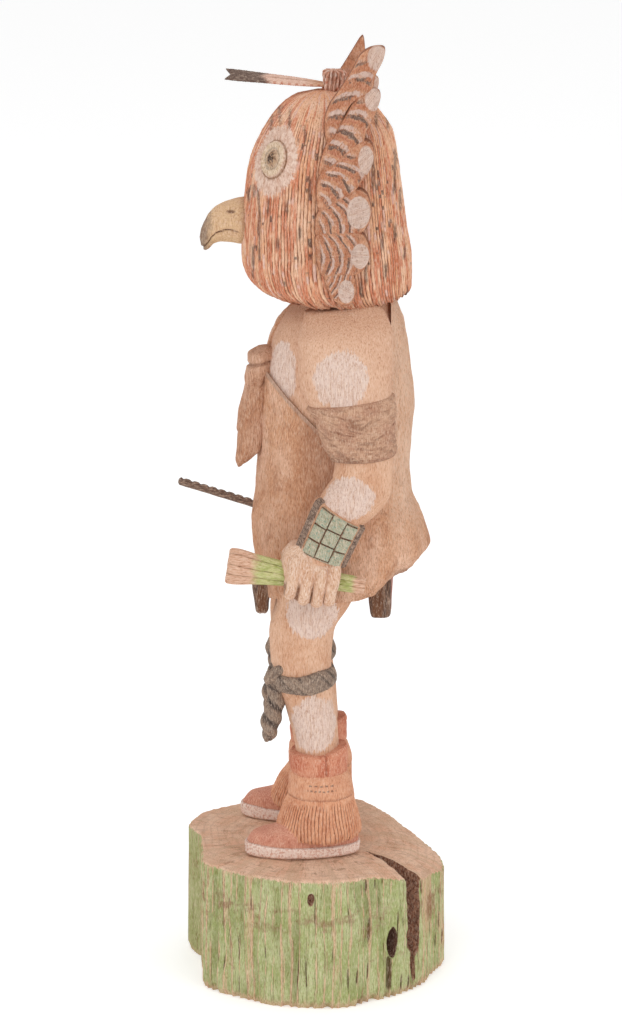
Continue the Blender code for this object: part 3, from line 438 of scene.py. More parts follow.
# Dashes of soot that show on the left side of the mask: back, height, length
SOOT_DASHES = (
    (-18.5, 268.0, 26.0), (-22.0, 276.0, 4.5), (-20.2, 278.0, 4.0), (-15.6, 274.0, 5.0),
    (-9.0, 274.4, 4.0), (-14.4, 300.0, 9.0), (-11.6, 303.6, 7.0), (-8.4, 302.0, 6.0),
    (-5.0, 266.0, 4.0), (-1.6, 281.0, 6.0), (-3.4, 298.0, 5.0), (20.4, 302.0, 5.0),
    (24.4, 300.6, 5.0), (19.2, 286.0, 12.0), (26.6, 284.0, 14.0), (22.4, 262.6, 6.0),
    (26.6, 264.4, 6.0), (17.0, 254.0, 10.0), (23.6, 252.4, 5.0), (30.0, 257.0, 4.0),
    (-20.6, 254.0, 12.0), (-12.4, 262.0, 4.0), (28.6, 274.0, 6.0), (15.4, 247.6, 5.0),
)


def soot_share(points):
    """How much of a point on the mask lies in one of the dashes of soot."""
    total = np.zeros(points.shape[:-1])
    waver = 0.35 * lumps(points, (2.0, 2.0, 2.6), 15)
    for back, height, length in SOOT_DASHES:
        across = np.exp(-((points[..., 1] - back + waver) / 0.5) ** 4)
        within = ramp(length / 2 + 0.8, length / 2 - 0.8, np.abs(points[..., 2] - height))
        total = np.maximum(total, across * within)
    return total * (points[..., 0] > 0.0)


def eye_distance(points, side):
    """How far points lie from the middle of an eye, which is taller than it is broad."""
    middle = np.array([side * EYE_PLACE[0], EYE_PLACE[1], EYE_PLACE[2]])
    return np.linalg.norm((points - middle) / [EYE_NARROW, EYE_NARROW, 1.0], axis=-1)


def eye_relief(away):
    """Height of the carved eye at a distance from its middle."""
    ring = np.exp(-((away - EYE_RING + 0.9) / 1.5) ** 2) * 1.0
    groove = np.exp(-((away - EYE_RING - 0.7) / 0.42) ** 2) * 0.75
    pupil = np.exp(-(away / 2.6) ** 4) * 1.15
    inner = np.exp(-((away - 3.3) / 0.45) ** 2) * 0.25
    return ring - groove + pupil - inner


def make_head():
    rings, turn = head_rings()
    count = turn.size
    lane_place = np.arange(count) / HEAD_POINTS_A_GROOVE
    sway = lumps(rings, (9.0, 9.0, 16.0), 3) * 0.42 + lumps(rings, (3.0, 3.0, 5.0), 4) * 0.16
    lane_place = (lane_place[None, :] + sway) % HEAD_GROOVES
    lane = np.floor(lane_place).astype(int) % HEAD_GROOVES
    within = lane_place - np.floor(lane_place)
    width = 0.55 + 0.35 * numbers(11, HEAD_GROOVES)[lane]
    ridge = np.clip(np.sin(math.pi * within), 0.0, 1.0) ** width
    depth = HEAD_GROOVE_DEPTH * (0.45 + 0.75 * numbers(12, HEAD_GROOVES)[lane])
    spots = np.stack([lane * 3.7, rings[..., 1] * 0.0, rings[..., 2]], axis=-1)
    depth = depth * (0.8 + 0.5 * lumps(spots, (1.0, 1.0, 9.0), 5) + 0.35 * lumps(spots, (1.0, 1.0, 2.6), 9))
    depth = np.clip(depth, 0.0, 1.3)
    crown = ramp(310.0, 292.0, rings[..., 2])
    depth = depth * (0.25 + 0.75 * crown)
    near_eye = np.minimum(eye_distance(rings, 1.0), eye_distance(rings, -1.0))
    disc_edge = EYE_DISC + 1.6 * lumps(rings, (2.0, 2.0, 4.0), 6)
    depth = depth * (0.18 + 0.82 * ramp(disc_edge - 2.5, disc_edge + 1.5, near_eye))
    # cut marks the bottoms of the grooves, where painted shade goes
    cut = (1.0 - ridge) * ramp(0.0, 0.5, depth)
    relief = -depth * (1.0 - ridge)
    relief += 0.22 * lumps(rings, (6.0, 6.0, 11.0), 7) + 0.14 * lumps(rings, (0.8, 0.8, 2.2), 8)
    rings[..., 2] -= ramp(246.0, 242.0, rings[..., 2]) * (1.1 * numbers(14, HEAD_GROOVES)[lane] - 0.5)
    relief += eye_relief(near_eye)
    rings = carve(rings, relief)
    tone = numbers(13, HEAD_GROOVES)[lane]
    marks = {"cut": cut, "lane": tone, "soot": soot_share(rings) * (0.45 + 0.55 * ridge)}
    underside = [0.0, 6.5, rings[0, :, 2].max() + 2.0]
    head = loft("head_mask", rings, marks, tip=(0.0, HEAD_TOP_BACK, HEAD_TOP), root=underside)
    return finished(head, "figure", head_finish(), sharp=70.0)


def head_finish():
    """Tan wash over grooved wood, with dashes of soot and chalk along single ridges."""
    finish = Finish("head_wash", 0.88)
    cut = finish.mark("cut")
    lane = finish.mark("lane")
    height = finish.axis("Z")
    lane_spot = finish.node("ShaderNodeCombineXYZ", None, {0: lane * 400.0, 1: 0.0, 2: height})
    drift = finish.noise((7.0, 7.0, 26.0), 3.0)
    fleck = finish.noise((0.5, 0.5, 2.6), 3.0, 0.6)
    ground = finish.mix(drift.ramp(0.35, 0.68), HEAD_TAN, HEAD_LIGHT)
    ruddy = finish.noise((1.0, 1.0, 13.0), 1.0, at=lane_spot, shift=3.0)
    front = finish.axis("Y").ramp(2.0, -16.0)
    front_low = front.math("MAXIMUM", front, height.ramp(270.0, 252.0))
    ground = finish.mix((ruddy + front_low * 0.07).ramp(0.50, 0.62) * 0.8, ground, HEAD_RED)
    chalky = finish.noise((1.0, 1.0, 7.0), 2.0, at=lane_spot, shift=9.0)
    ground = finish.mix(chalky.ramp(0.58, 0.68) * 0.8, ground, CHALK)
    dash = finish.noise((1.0, 1.0, 3.6), 1.5, at=lane_spot, shift=21.0)
    patch = finish.noise((11.0, 11.0, 16.0), 1.0, shift=5.0)
    sooty = (dash + patch * 0.35).ramp(0.84, 0.90)
    sooty = sooty.math("MAXIMUM", sooty, finish.mark("soot"))
    ground = finish.mix(fleck.ramp(0.46, 0.30) * 0.5, ground, paint(240, 204, 176))
    ground = finish.mix(fleck.ramp(0.52, 0.72) * 0.5, ground, GROOVE_BROWN)
    # painted shade: darker brown in the bottoms of the grooves
    ground = finish.mix(cut.ramp(0.2, 0.8) * 0.92, ground, paint(132, 76, 50))
    ground = finish.mix(sooty * fleck.ramp(0.25, 0.5) * 0.85, ground, SOOT)
    for side in (1.0, -1.0):
        ground = eye_paint(finish, ground, side)
    rim = (height.ramp(244.5, 241.0)) * 0.35
    ground = finish.mix(rim, ground, GROOVE_BROWN)
    return finish.wear(ground, fleck * 0.6 + finish.noise((0.25, 0.25, 0.9), 2.0) * 0.5, 0.22)


def eye_paint(finish, ground, side):
    """The ragged disc of chalk round an eye, its carved ring and its small dark pupil."""
    middle = (side * EYE_PLACE[0], EYE_PLACE[1], EYE_PLACE[2])
    away = finish.near(middle, (EYE_NARROW, EYE_NARROW, 1.0))
    y, z = finish.axis("Y") - EYE_PLACE[1], finish.axis("Z") - EYE_PLACE[2]
    angle = finish.node("ShaderNodeMath", {"operation": "ARCTAN2"}, {0: z, 1: y * 1.6})
    spoke = finish.node("ShaderNodeCombineXYZ", None, {0: angle * 7.0, 1: away * 0.35, 2: 0.0})
    strokes = finish.noise((1.0, 1.0, 1.0), 3.0, 0.65, shift=37.0, at=spoke)
    ragged = finish.noise((0.8, 0.8, 1.0), 3.0, 0.65, shift=31.0)
    disc = finish.near(middle, (DISC_NARROW, DISC_NARROW, 1.0)) + (strokes - 0.5) * 7.0
    chalk = finish.mix(strokes.ramp(0.36, 0.62), paint(232, 206, 190), paint(206, 168, 148))
    ground = finish.mix(disc.ramp(EYE_DISC + 0.8, EYE_DISC - 0.8) * 0.95, ground, chalk)
    inside = finish.mix(ragged.ramp(0.38, 0.62), paint(230, 208, 184), paint(202, 174, 142))
    ground = finish.mix(away.ramp(EYE_RING + 0.4, EYE_RING - 0.2) * 0.9, ground, inside)
    line = abs(away - (EYE_RING + 0.65)).ramp(0.55, 0.1)
    ground = finish.mix(line * (0.2 + ragged * 1.1), ground, paint(138, 94, 58))
    scribble = abs(away - 3.6 + (ragged - 0.5) * 2.4).ramp(0.5, 0.1)
    ground = finish.mix(scribble * 0.55, ground, paint(140, 122, 106))
    pupil = finish.near(middle, PUPIL) + (ragged - 0.5) * 1.6
    ground = finish.mix(pupil.ramp(1.35, 0.95) * 0.6, ground, paint(150, 100, 60))
    return finish.mix(pupil.ramp(1.0, 0.7) * 0.95, ground, paint(66, 46, 36))


def make_beak():
    rows, count = 44, 72
    depth = np.linspace(0.0, 1.0, rows) ** 0.85
    reach = BEAK[0][0] + (BEAK[-1][0] - BEAK[0][0]) * depth
    table = [(-y, z, half_z, half_x) for y, z, half_z, half_x in BEAK]
    z, half_z, half_x = smooth_rows(table, -reach)
    turn = turns(count)[None, :]
    ridge = 1.0 + 0.05 * np.maximum(np.sin(turn), 0.0) ** 6
    px = half_x[:, None] * np.cos(turn) * (1.0 - 0.10 * np.maximum(np.sin(turn), 0.0))
    pz = z[:, None] + half_z[:, None] * np.sin(turn) * ridge
    rings = np.stack([px, np.broadcast_to(reach[:, None], px.shape), pz], axis=-1)
    mouth = mouth_line(rings[..., 1])
    gap = np.exp(-((rings[..., 2] - mouth) / 0.4) ** 2) * ramp(-24.0, -27.0, rings[..., 1])
    nostril = nostril_share(rings)
    relief = -0.75 * gap - 0.5 * nostril + 0.09 * lumps(rings, (1.4, 1.4, 1.4), 21)
    rings = carve(rings, relief)
    # cut marks the mouth slit and the nostrils, where painted shade goes
    beak = loft("beak", rings, {"cut": np.clip(gap * 0.9 + nostril, 0.0, 1.0)}, tip=BEAK_TIP)
    return finished(beak, "figure", beak_finish())


def mouth_line(y):
    """Height of the line between the two halves of the beak, turning down behind the hook."""
    rows = ((24.0, 262.9), (29.0, 263.6), (32.6, 262.6), (34.8, 260.6), (36.0, 258.5), (39.0, 256.0))
    return smooth_rows(rows, -y)[0]


def nostril_share(points):
    """How much of a point lies in a nostril."""
    away = (points - np.array([0.0, -28.2, 269.9])) / np.array([1.0, 1.9, 0.65])
    away[..., 0] = (np.abs(points[..., 0]) - 5.2) / 2.2
    return np.exp(-(away ** 2).sum(axis=-1))


def beak_finish():
    finish = Finish("beak_paint", 0.72)
    cut = finish.mark("cut")
    tip = (finish.axis("Y") + (finish.noise((1.5, 1.5, 1.5), 2.0) - 0.5) * 5.0).ramp(-33.4, -37.6)
    grain = finish.noise((1.6, 3.2, 0.7), 3.0, 0.6)
    colour = finish.mix(grain.ramp(0.35, 0.7) * 0.5, BEAK_TAN, paint(194, 154, 125))
    colour = finish.mix(finish.axis("Z").ramp(262.5, 259.0) * 0.35, colour, paint(201, 170, 121))
    colour = finish.mix(tip * 0.85, colour, BEAK_GREY)
    # painted shade: brown at the beak's root, where it meets the mask
    root = finish.axis("Y").ramp(-26.0, -23.0) * 0.5
    colour = finish.mix(root, colour, GROOVE_BROWN)
    # painted shade: dark brown in the mouth slit and the nostrils
    colour = finish.mix(cut.ramp(0.2, 0.8) * 0.9, colour, paint(109, 73, 53))
    return finish.wear(colour, grain * 0.5 + finish.noise((0.4, 0.4, 0.4), 2.0) * 0.5, 0.15)


# Fans beside the head: each feather's outline from behind its root, then its white tip's middle,
# the tip's half sizes, and where its run starts
FAN_FEATHERS = (
    (((4.3, 295.2), (3.0, 301.5), (4.6, 307.5), (8.3, 312.8), (12.4, 319.0), (15.0, 323.6),
      (18.6, 326.0), (22.9, 326.0), (22.6, 322.0), (20.0, 317.0), (18.6, 312.4), (12.0, 308.0),
      (8.0, 301.0)), (20.6, 322.6), (3.6, 4.4), (3.4, 296.0)),
    (((1.2, 285.3), (3.6, 295.4), (9.0, 303.0), (13.2, 309.4), (17.8, 312.8), (21.0, 312.4),
      (21.6, 309.6), (19.6, 304.0), (16.8, 299.0), (15.6, 295.4), (8.5, 289.6)),
     (19.2, 309.6), (3.0, 4.0), (2.0, 288.0)),
    (((1.2, 273.8), (1.0, 284.6), (7.2, 290.4), (14.0, 296.2), (18.2, 296.2), (19.6, 292.8),
      (18.3, 287.6), (15.2, 283.2), (12.6, 279.8), (7.0, 276.6)),
     (16.8, 290.6), (2.8, 5.0), (0.6, 277.5)),
    (((0.2, 265.6), (1.2, 274.4), (7.3, 277.8), (13.0, 281.2), (17.2, 279.4), (18.7, 274.3),
      (17.8, 269.6), (14.4, 266.0), (7.4, 265.0)),
     (14.4, 273.6), (4.2, 5.8), (0.4, 269.5)),
    (((2.0, 252.6), (0.2, 259.5), (0.6, 266.4), (8.0, 267.4), (15.2, 266.8), (18.1, 262.4),
      (18.3, 258.2), (15.2, 253.4), (11.2, 252.2), (6.4, 252.0)),
     (15.0, 259.2), (3.2, 4.6), (0.8, 259.5)),
    (((5.2, 245.6), (2.8, 252.8), (7.0, 254.6), (11.8, 254.0), (13.9, 248.8), (12.8, 243.8),
      (10.5, 242.2), (7.8, 242.9)),
     (10.4, 247.2), (2.9, 4.3), (3.6, 251.5)),
)
FAR_TOP_FEATHER = (
    ((4.3, 295.2), (3.0, 301.5), (4.2, 308.0), (8.4, 314.6), (12.2, 321.0), (15.4, 326.3),
     (16.5, 326.0), (17.2, 320.6), (18.8, 314.4), (17.0, 310.6), (12.0, 307.4), (8.0, 301.0)),
    (40.0, 340.0), (1.0, 1.0), (4.0, 297.0),
)
# Outer face of a fan: height, distance from the middle of the doll
FAN_FACE = (
    (240.0, 28.2), (270.0, 28.2), (278.0, 27.4), (286.0, 26.2), (293.0, 24.8), (299.0, 22.8),
    (304.0, 20.6), (309.0, 18.4), (315.0, 16.2), (321.0, 14.2), (327.0, 12.6),
)
FAN_THICKNESS = 8.0
FAN_TIP_THICKNESS = 4.0
FAN_OVERLAP = 0.45
# Section of a feather from its back over its edge to the middle of its face: share of the
# outline, depth as a share of the thickness
FEATHER_SECTION = (
    (0.90, 1.0), (0.97, 0.97), (1.0, 0.80), (1.0, 0.5), (1.0, 0.26), (0.995, 0.19), (0.975, 0.13),
    (0.94, 0.08), (0.90, 0.055), (0.84, 0.035), (0.76, 0.02), (0.66, 0.01), (0.56, 0.0),
    (0.46, 0.0), (0.36, 0.0), (0.26, 0.0), (0.16, 0.0), (0.07, 0.0),
)


def fan_feather(index, feather, side, finish):
    outline, tip, tip_size, root = feather
    edge = smooth_outline(outline, 10)
    middle = edge.mean(axis=0)
    rings = []
    for share, depth in FEATHER_SECTION:
        spots = middle + (edge - middle) * share
        face = smooth_rows(FAN_FACE, spots[:, 1])[0]
        thickness = blend(FAN_THICKNESS, FAN_TIP_THICKNESS, ramp(298.0, 312.0, spots[:, 1]))
        lift = 0.0 if index % 2 else FAN_OVERLAP
        rings.append(np.stack([face - depth * thickness + lift, spots[:, 0], spots[:, 1]], axis=-1))
    rings = np.array(rings)
    shares = np.array([share for share, _ in FEATHER_SECTION])[:, None]
    on_face = ramp(0.3, 0.1, np.array([depth for _, depth in FEATHER_SECTION]))[:, None]
    place = rings[..., 1:]
    run = np.array(tip) - np.array(root)
    if tip[1] > TIP:
        run = np.array([11.5, 30.0])
    length = np.linalg.norm(run)
    along = ((place - root) @ run) / length ** 2
    across = ((place - root) @ np.array([-run[1], run[0]])) / length
    from_tip = np.linalg.norm((place - tip) / tip_size, axis=-1)
    lobe = ramp(1.12, 0.75, from_tip)
    groove = np.exp(-((from_tip - 1.12) / 0.10) ** 2)
    barb = np.sin(across * 5.2 + along * 3.0 + 2.0 * lumps(place_3d(place), (3.0, 3.0, 3.0), 31))
    relief = on_face * (0.32 * lobe - 0.2 * groove + 0.16 * barb)
    relief = relief + on_face * 0.3 * lumps(rings, (1.6, 1.6, 1.6), 32)
    relief = relief + on_face * 0.12 * lumps(rings, (0.6, 0.6, 0.6), 33)
    rings[..., 0] += relief
    rings[..., 0] *= side
    marks = {
        "along": along, "across": across / 4.0, "edge": shares + 0.0 * along,
        "tip": lobe + 0.0 * along,
    }
    side_name = "left" if side > 0 else "right"
    piece = loft("fan_feather_%s_%d" % (side_name, index + 1), rings, marks)
    return finished(piece, "figure", finish, sharp=75.0)


def place_3d(place):
    """Points of a flat drawing with a third coordinate of zero."""
    return np.concatenate([place, np.zeros(place.shape[:-1] + (1,))], axis=-1)


def fan_finish():
    """Ruddy tan feathers barred with soot and chalk, with brushed white tips and painted shade in the seams between
    them.
    """
    finish = Finish("fan_paint", 0.88)
    along, across = finish.mark("along"), finish.mark("across")
    edge, tip = finish.mark("edge"), finish.mark("tip")
    barbs = finish.node("ShaderNodeCombineXYZ", None, {0: along * 3.0, 1: across * 26.0, 2: 0.0})
    strokes = finish.noise((0.6, 0.6, 1.0), 3.0, 0.7, shift=12.0, at=barbs)
    fleck = finish.noise((0.5, 0.5, 0.9), 3.0, 0.65)
    drift = finish.noise((3.0, 3.0, 3.0), 3.0, 0.6, shift=4.0)
    ground = finish.mix(drift.ramp(0.38, 0.62), paint(206, 136, 100), paint(228, 168, 132))
    ground = finish.mix(fleck.ramp(0.48, 0.64) * 0.4, ground, paint(168, 110, 80))
    beat = along * 4.6 + across * across * 0.30 + across * 0.22 + (drift - 0.5) * 0.55
    phase = finish.node("ShaderNodeMath", {"operation": "FRACT"}, {0: beat})
    inner = edge.ramp(0.95, 0.78) * along.ramp(0.98, 0.82) * along.ramp(0.02, 0.12)
    patch = drift + (strokes - 0.5) * 0.5 + (fleck - 0.5) * 0.4
    bar = abs(phase - 0.40 + (fleck - 0.5) * 0.10).ramp(0.17, 0.08) * patch.ramp(0.36, 0.50)
    chalk = abs(phase - 0.66 + (fleck - 0.5) * 0.10).ramp(0.19, 0.08) * patch.ramp(0.66, 0.52)
    red = abs(phase - 0.06).ramp(0.24, 0.05) * patch.ramp(0.4, 0.55)
    ground = finish.mix(red * inner * 0.55, ground, paint(196, 112, 86))
    ground = finish.mix(chalk * inner * 0.8, ground, paint(232, 206, 194))
    ground = finish.mix(bar * inner * 0.85, ground, paint(98, 84, 80))
    ground = finish.mix(strokes.ramp(0.54, 0.66) * 0.35, ground, GROOVE_BROWN)
    white = finish.mix(strokes.ramp(0.44, 0.62), paint(242, 220, 208), paint(214, 174, 152))
    at_tip = (tip + (strokes - 0.5) * 1.1 + (fleck - 0.5) * 0.4).ramp(0.40, 0.66)
    ground = finish.mix(at_tip * edge.ramp(1.04, 0.97) * 0.9, ground, white)
    # painted shade: brown along each feather's edge, in the seams between feathers
    seam = (edge + (fleck - 0.5) * 0.04).ramp(0.955, 0.995) * 0.85
    ground = finish.mix(seam * tip.ramp(0.9, 0.3), ground, GROOVE_BROWN)
    return finish.wear(ground, fleck * 0.8 + strokes * 1.2, 0.3)


# Wrapped tie on the crown: profile as share of height and of half width
TIE_PROFILE = (
    (0.0, 0.90), (0.08, 0.97), (0.25, 1.0), (0.45, 0.93), (0.62, 0.97), (0.84, 0.99), (0.95, 0.90),
    (0.995, 0.70),
)
TIE_GROOVES = 15


def make_crown_tie():
    low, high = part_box("crown_tie")
    low, high = np.array(low) / MM, np.array(high) / MM
    middle = (low + high) / 2
    reach = (high - low)[:2].min() / 2
    low_z = low[2] - ORIGIN[2] / MM
    size_z = high[2] - low[2]
    rows = np.linspace(0.0, 1.0, 36)
    share = smooth_rows(TIE_PROFILE, rows * 0.995)[0]
    turn = turns(TIE_GROOVES * 12)
    twist = turn[None, :] * TIE_GROOVES + 1.6 * np.sin(turn * 3.0)[None, :] + 1.4 * np.sin(rows * 5.0)[:, None]
    beat = 0.5 + 0.5 * np.cos(twist)
    groove = 1.0 - np.abs(beat) ** 0.45
    radius = reach * share[:, None] * (1.0 - 0.13 * groove)
    rings = np.stack([
        middle[0] + radius * np.cos(turn), middle[1] + radius * np.sin(turn),
        np.broadcast_to((low_z + rows * size_z)[:, None], radius.shape),
    ], axis=-1)
    rings = carve(rings, 0.34 * lumps(rings, (1.1, 1.1, 1.5), 41) + 0.14 * lumps(rings, (0.5, 0.5, 0.8), 42) - 0.34)
    rings[-8:, :, 2] -= 0.9 * ramp(-0.2, 0.8, lumps(rings[-8:], (1.4, 1.4, 9.0), 43))
    top = [middle[0], middle[1], low_z + size_z * 0.985]
    tie = loft("crown_wrap", rings, {"cut": groove + 0.0 * radius}, tip=top)
    finish = Finish("wrap_paint", 0.88)
    fleck = finish.noise((0.5, 0.5, 1.3), 3.0, 0.6)
    colour = finish.mix(fleck.ramp(0.35, 0.7), paint(222, 178, 156), paint(206, 150, 128))
    tuft = finish.noise((1.1, 1.1, 1.6), 2.0, shift=5.0)
    colour = finish.mix(tuft.ramp(0.54, 0.62) * 0.8, colour, paint(238, 216, 204))
    colour = finish.mix(tuft.ramp(0.44, 0.36) * 0.75, colour, paint(196, 112, 86))
    # painted shade: brown in the wrap's grooves
    colour = finish.mix(finish.mark("cut").ramp(0.25, 0.85) * 0.8, colour, GROOVE_BROWN)
    return finished(tie, "crown_tie", finish.wear(colour, fleck, 0.2))


# Long feather on the crown: share of its length from the tie, share of its half width
FEATHER_OUTLINE = ((0.0, 0.24), (0.12, 0.5), (0.35, 0.74), (0.65, 0.86), (0.9, 0.97), (1.0, 0.94))
FEATHER_LENGTH = 34.5
FEATHER_HALF = 5.0
FEATHER_NOTCH = 4.5
FEATHER_THICKNESS = 1.3
FEATHER_RISE = math.radians(6.0)
FEATHER_ROLL = math.radians(14.0)
FEATHER_ROOT = (0.0, 4.5, 311.7)


def make_forehead_feather():
    rows, count = 150, 40
    along = np.linspace(0.0, 1.0, rows)
    half = smooth_rows(FEATHER_OUTLINE, along)[0] * FEATHER_HALF
    serration = 0.16 * np.sin(along * 150.0) * ramp(0.1, 0.4, along)
    half = half * (1.0 - 0.04 * np.abs(np.sin(along * 47.0))) - np.abs(serration)
    turn = turns(count)
    across = np.cos(turn)[None, :]
    thick = FEATHER_THICKNESS / 2 * (0.45 + 0.55 * np.abs(np.sin(turn)))[None, :]
    level = np.sign(np.sin(turn))[None, :] * thick * (0.62 + 0.38 * (1.0 - across ** 2))
    vane = across * half[:, None]
    barb = 0.05 * np.sin(along[:, None] * 240.0 + np.abs(vane) * 2.6) * ramp(0.15, 0.3, along)[:, None]
    level = level + barb * np.sign(level)
    notch = FEATHER_NOTCH * ramp(0.86, 1.0, along)[:, None] * (1.0 - np.abs(across))
    reach = along[:, None] * FEATHER_LENGTH - notch
    cosine, sine = math.cos(FEATHER_ROLL), math.sin(FEATHER_ROLL)
    vane, level = vane * cosine + level * sine, level * cosine - vane * sine
    cosine, sine = math.cos(FEATHER_RISE), math.sin(FEATHER_RISE)
    rings = np.stack([
        FEATHER_ROOT[0] + vane,
        FEATHER_ROOT[1] - reach * cosine + level * sine,
        FEATHER_ROOT[2] + reach * sine + level * cosine,
    ], axis=-1)
    marks = {"along": along[:, None] + 0.0 * vane, "across": across + 0.0 * vane}
    feather = loft("crown_feather", rings, marks)
    finish = Finish("long_feather_paint", 0.82)
    along, across = finish.mark("along"), finish.mark("across")
    fleck = finish.noise((0.6, 0.35, 0.6), 3.0, 0.6)
    colour = finish.mix(fleck.ramp(0.35, 0.7), paint(228, 196, 180), paint(208, 160, 136))
    colour = finish.mix(along.ramp(0.30, 0.05) * 0.8, colour, paint(202, 152, 116))
    spine = abs(across).ramp(0.16, 0.04) * along.ramp(0.8, 0.5)
    colour = finish.mix(spine * 0.5, colour, GROOVE_BROWN)
    teeth = finish.node("ShaderNodeMath", {"operation": "SINE"}, {0: along * 88.0})
    red = abs(across).ramp(0.62, 0.92) * teeth.ramp(0.0, 0.7) * along.ramp(0.75, 0.6)
    colour = finish.mix(red * 0.75, colour, paint(188, 112, 84))
    dark = (along + (fleck - 0.5) * 0.10 + abs(across) * 0.08).ramp(0.60, 0.70)
    colour = finish.mix(dark * 0.94, colour, paint(86, 68, 60))
    speck = finish.noise((0.5, 0.5, 0.5), 1.0, shift=8.0).ramp(0.60, 0.70) * 0.5
    colour = finish.mix(speck * dark, colour, paint(160, 134, 116))
    return finished(
        feather, "forehead_feather", finish.wear(colour, fleck, 0.15, PORE_ALONG),
        sharp=50.0,
    )


# Bare body and the hide robe around it: height, front, back, half width
BODY = (
    (150.0, -17.5, 30.0, 22.0),
    (182.0, -18.4, 31.0, 22.4),
    (202.0, -17.6, 31.0, 22.4),
    (214.0, -16.9, 30.8, 22.6),
    (226.0, -14.6, 30.0, 22.2),
    (233.0, -11.2, 28.8, 20.6),
    (239.0, -6.6, 26.5, 17.6),
    (246.0, -3.0, 23.0, 13.0),
)
ROBE = (
    (139.0, -20.3, 33.4, 25.6),
    (142.0, -20.9, 36.0, 26.4),
    (148.5, -20.6, 39.4, 27.0),
    (156.0, -21.4, 37.8, 26.6),
    (164.0, -21.9, 36.0, 25.6),
    (173.0, -20.5, 33.4, 24.6),
    (184.0, -19.7, 32.8, 24.0),
    (203.0, -19.0, 34.2, 24.0),
    (219.0, -17.4, 32.6, 23.8),
    (231.0, -13.6, 30.8, 22.4),
    (238.0, -7.6, 28.4, 19.4),
    (246.0, -2.0, 24.0, 14.0),
)
ROBE_SQUARENESS = 2.3
ROBE_BACK_HEM = 146.6
ROBE_FLARE_TOP = 172.0
ROBE_FOLDS = 13
ROBE_BROAD_FOLDS = 5
ROBE_FOLD_DEPTH = 0.7
HEM_WAVES = 9
HEM_RECESS = 3.6
HEM_MIDDLE = 6.5
# What the robe leaves bare on the left, seen from the side
BARE_SIDE = (
    (-40.0, 252.0), (-40.0, 219.0), (-17.6, 217.0), (-14.0, 213.8), (-4.9, 204.6), (4.0, 196.0),
    (14.0, 187.0), (25.6, 190.0), (25.6, 252.0),
)
BARE_FROM = 2.5


def make_torso(finish):
    heights = np.linspace(BODY[0][0], BODY[-1][0], 80)
    rings = stack_rings(BODY, heights, turns(120), squareness=2.2)
    relief = 0.28 * lumps(rings, (8.0, 8.0, 13.0), 51) + 0.07 * lumps(rings, (1.1, 1.1, 3.0), 52)
    torso = loft("torso", carve(rings, relief))
    return finished(torso, "figure", finish)


def robe_rings():
    """The robe's skin, from inside its hem over the hem's edge and up to the neck."""
    heights = np.concatenate([np.linspace(139.0, 150.0, 16), np.linspace(150.8, 246.0, 110)])
    turn = turns(280)
    rings = stack_rings(ROBE, heights, turn, squareness=ROBE_SQUARENESS)
    front, back, _ = smooth_rows(ROBE, heights)
    middle = ((front + back) / 2)[:, None]
    away = rings[..., :2] - np.stack([0.0 * middle, middle], axis=-1)
    bearing = np.arctan2(away[..., 1], away[..., 0])
    fold = ROBE_FOLD_DEPTH * ramp(186.0, 140.0, heights)[:, None]
    wave = 0.6 * np.sin(bearing * ROBE_FOLDS + 0.6) + 0.4 * np.sin(bearing * ROBE_BROAD_FOLDS)
    away = away / np.linalg.norm(away, axis=-1, keepdims=True)
    rings[..., :2] += away * (fold * wave)[..., None]
    hem = blend(ROBE[0][0], ROBE_BACK_HEM, ramp(0.2, 0.95, np.sin(bearing)))
    hem = hem + 0.5 * np.sin(bearing * HEM_WAVES)
    hem = hem + 0.22 * lumps(rings * [1.0, 1.0, 0.0], (1.3, 1.3, 1.0), 61)
    share = (ROBE_FLARE_TOP - heights)[:, None] / (ROBE_FLARE_TOP - ROBE[0][0])
    flared = blend(ROBE_FLARE_TOP, hem, share)
    rings[..., 2] = np.where(heights[:, None] < ROBE_FLARE_TOP, flared, rings[..., 2])
    return rings


def make_robe(finish):
    rings = robe_rings()
    fur = lumps(rings, (0.8, 0.8, 4.2), 62) * 0.2 + lumps(rings, (1.7, 1.7, 8.0), 63) * 0.22
    dents = 0.5 * lumps(rings, (8.0, 8.0, 13.0), 64)
    rings = carve(rings, fur + dents - 0.3)
    lip = rings[0].copy()
    under = []
    for share, rise in ((0.70, HEM_RECESS + 1.5), (0.86, HEM_RECESS), (0.90, 1.4), (0.935, 0.15), (0.97, -0.25)):
        ring = lip.copy()
        ring[:, 0] *= share
        ring[:, 1] = blend(HEM_MIDDLE, ring[:, 1], share)
        ring[:, 2] += rise
        under.append(ring)
    rings = np.concatenate([np.array(under), rings])
    roof = (0.0, HEM_MIDDLE, ROBE[0][0] + HEM_RECESS + 3.0)
    robe = loft("hide_robe", rings, root=roof)
    bare = bare_side_cutter()
    boolean = robe.modifiers.new("bare_side", "BOOLEAN")
    boolean.operation = "DIFFERENCE"
    boolean.solver = "EXACT"
    boolean.object = bare
    settle(robe)
    bpy.data.objects.remove(bare, do_unlink=True)
    spots = mesh_points(robe)
    give_mark(robe, "edge", robe_edge_share(spots))
    # under marks the inside of the hem, where painted shade goes
    give_mark(robe, "under", ramp(1.2, 3.0, hem_depth(spots)))
    return finished(robe, "figure", finish, sharp=48.0)


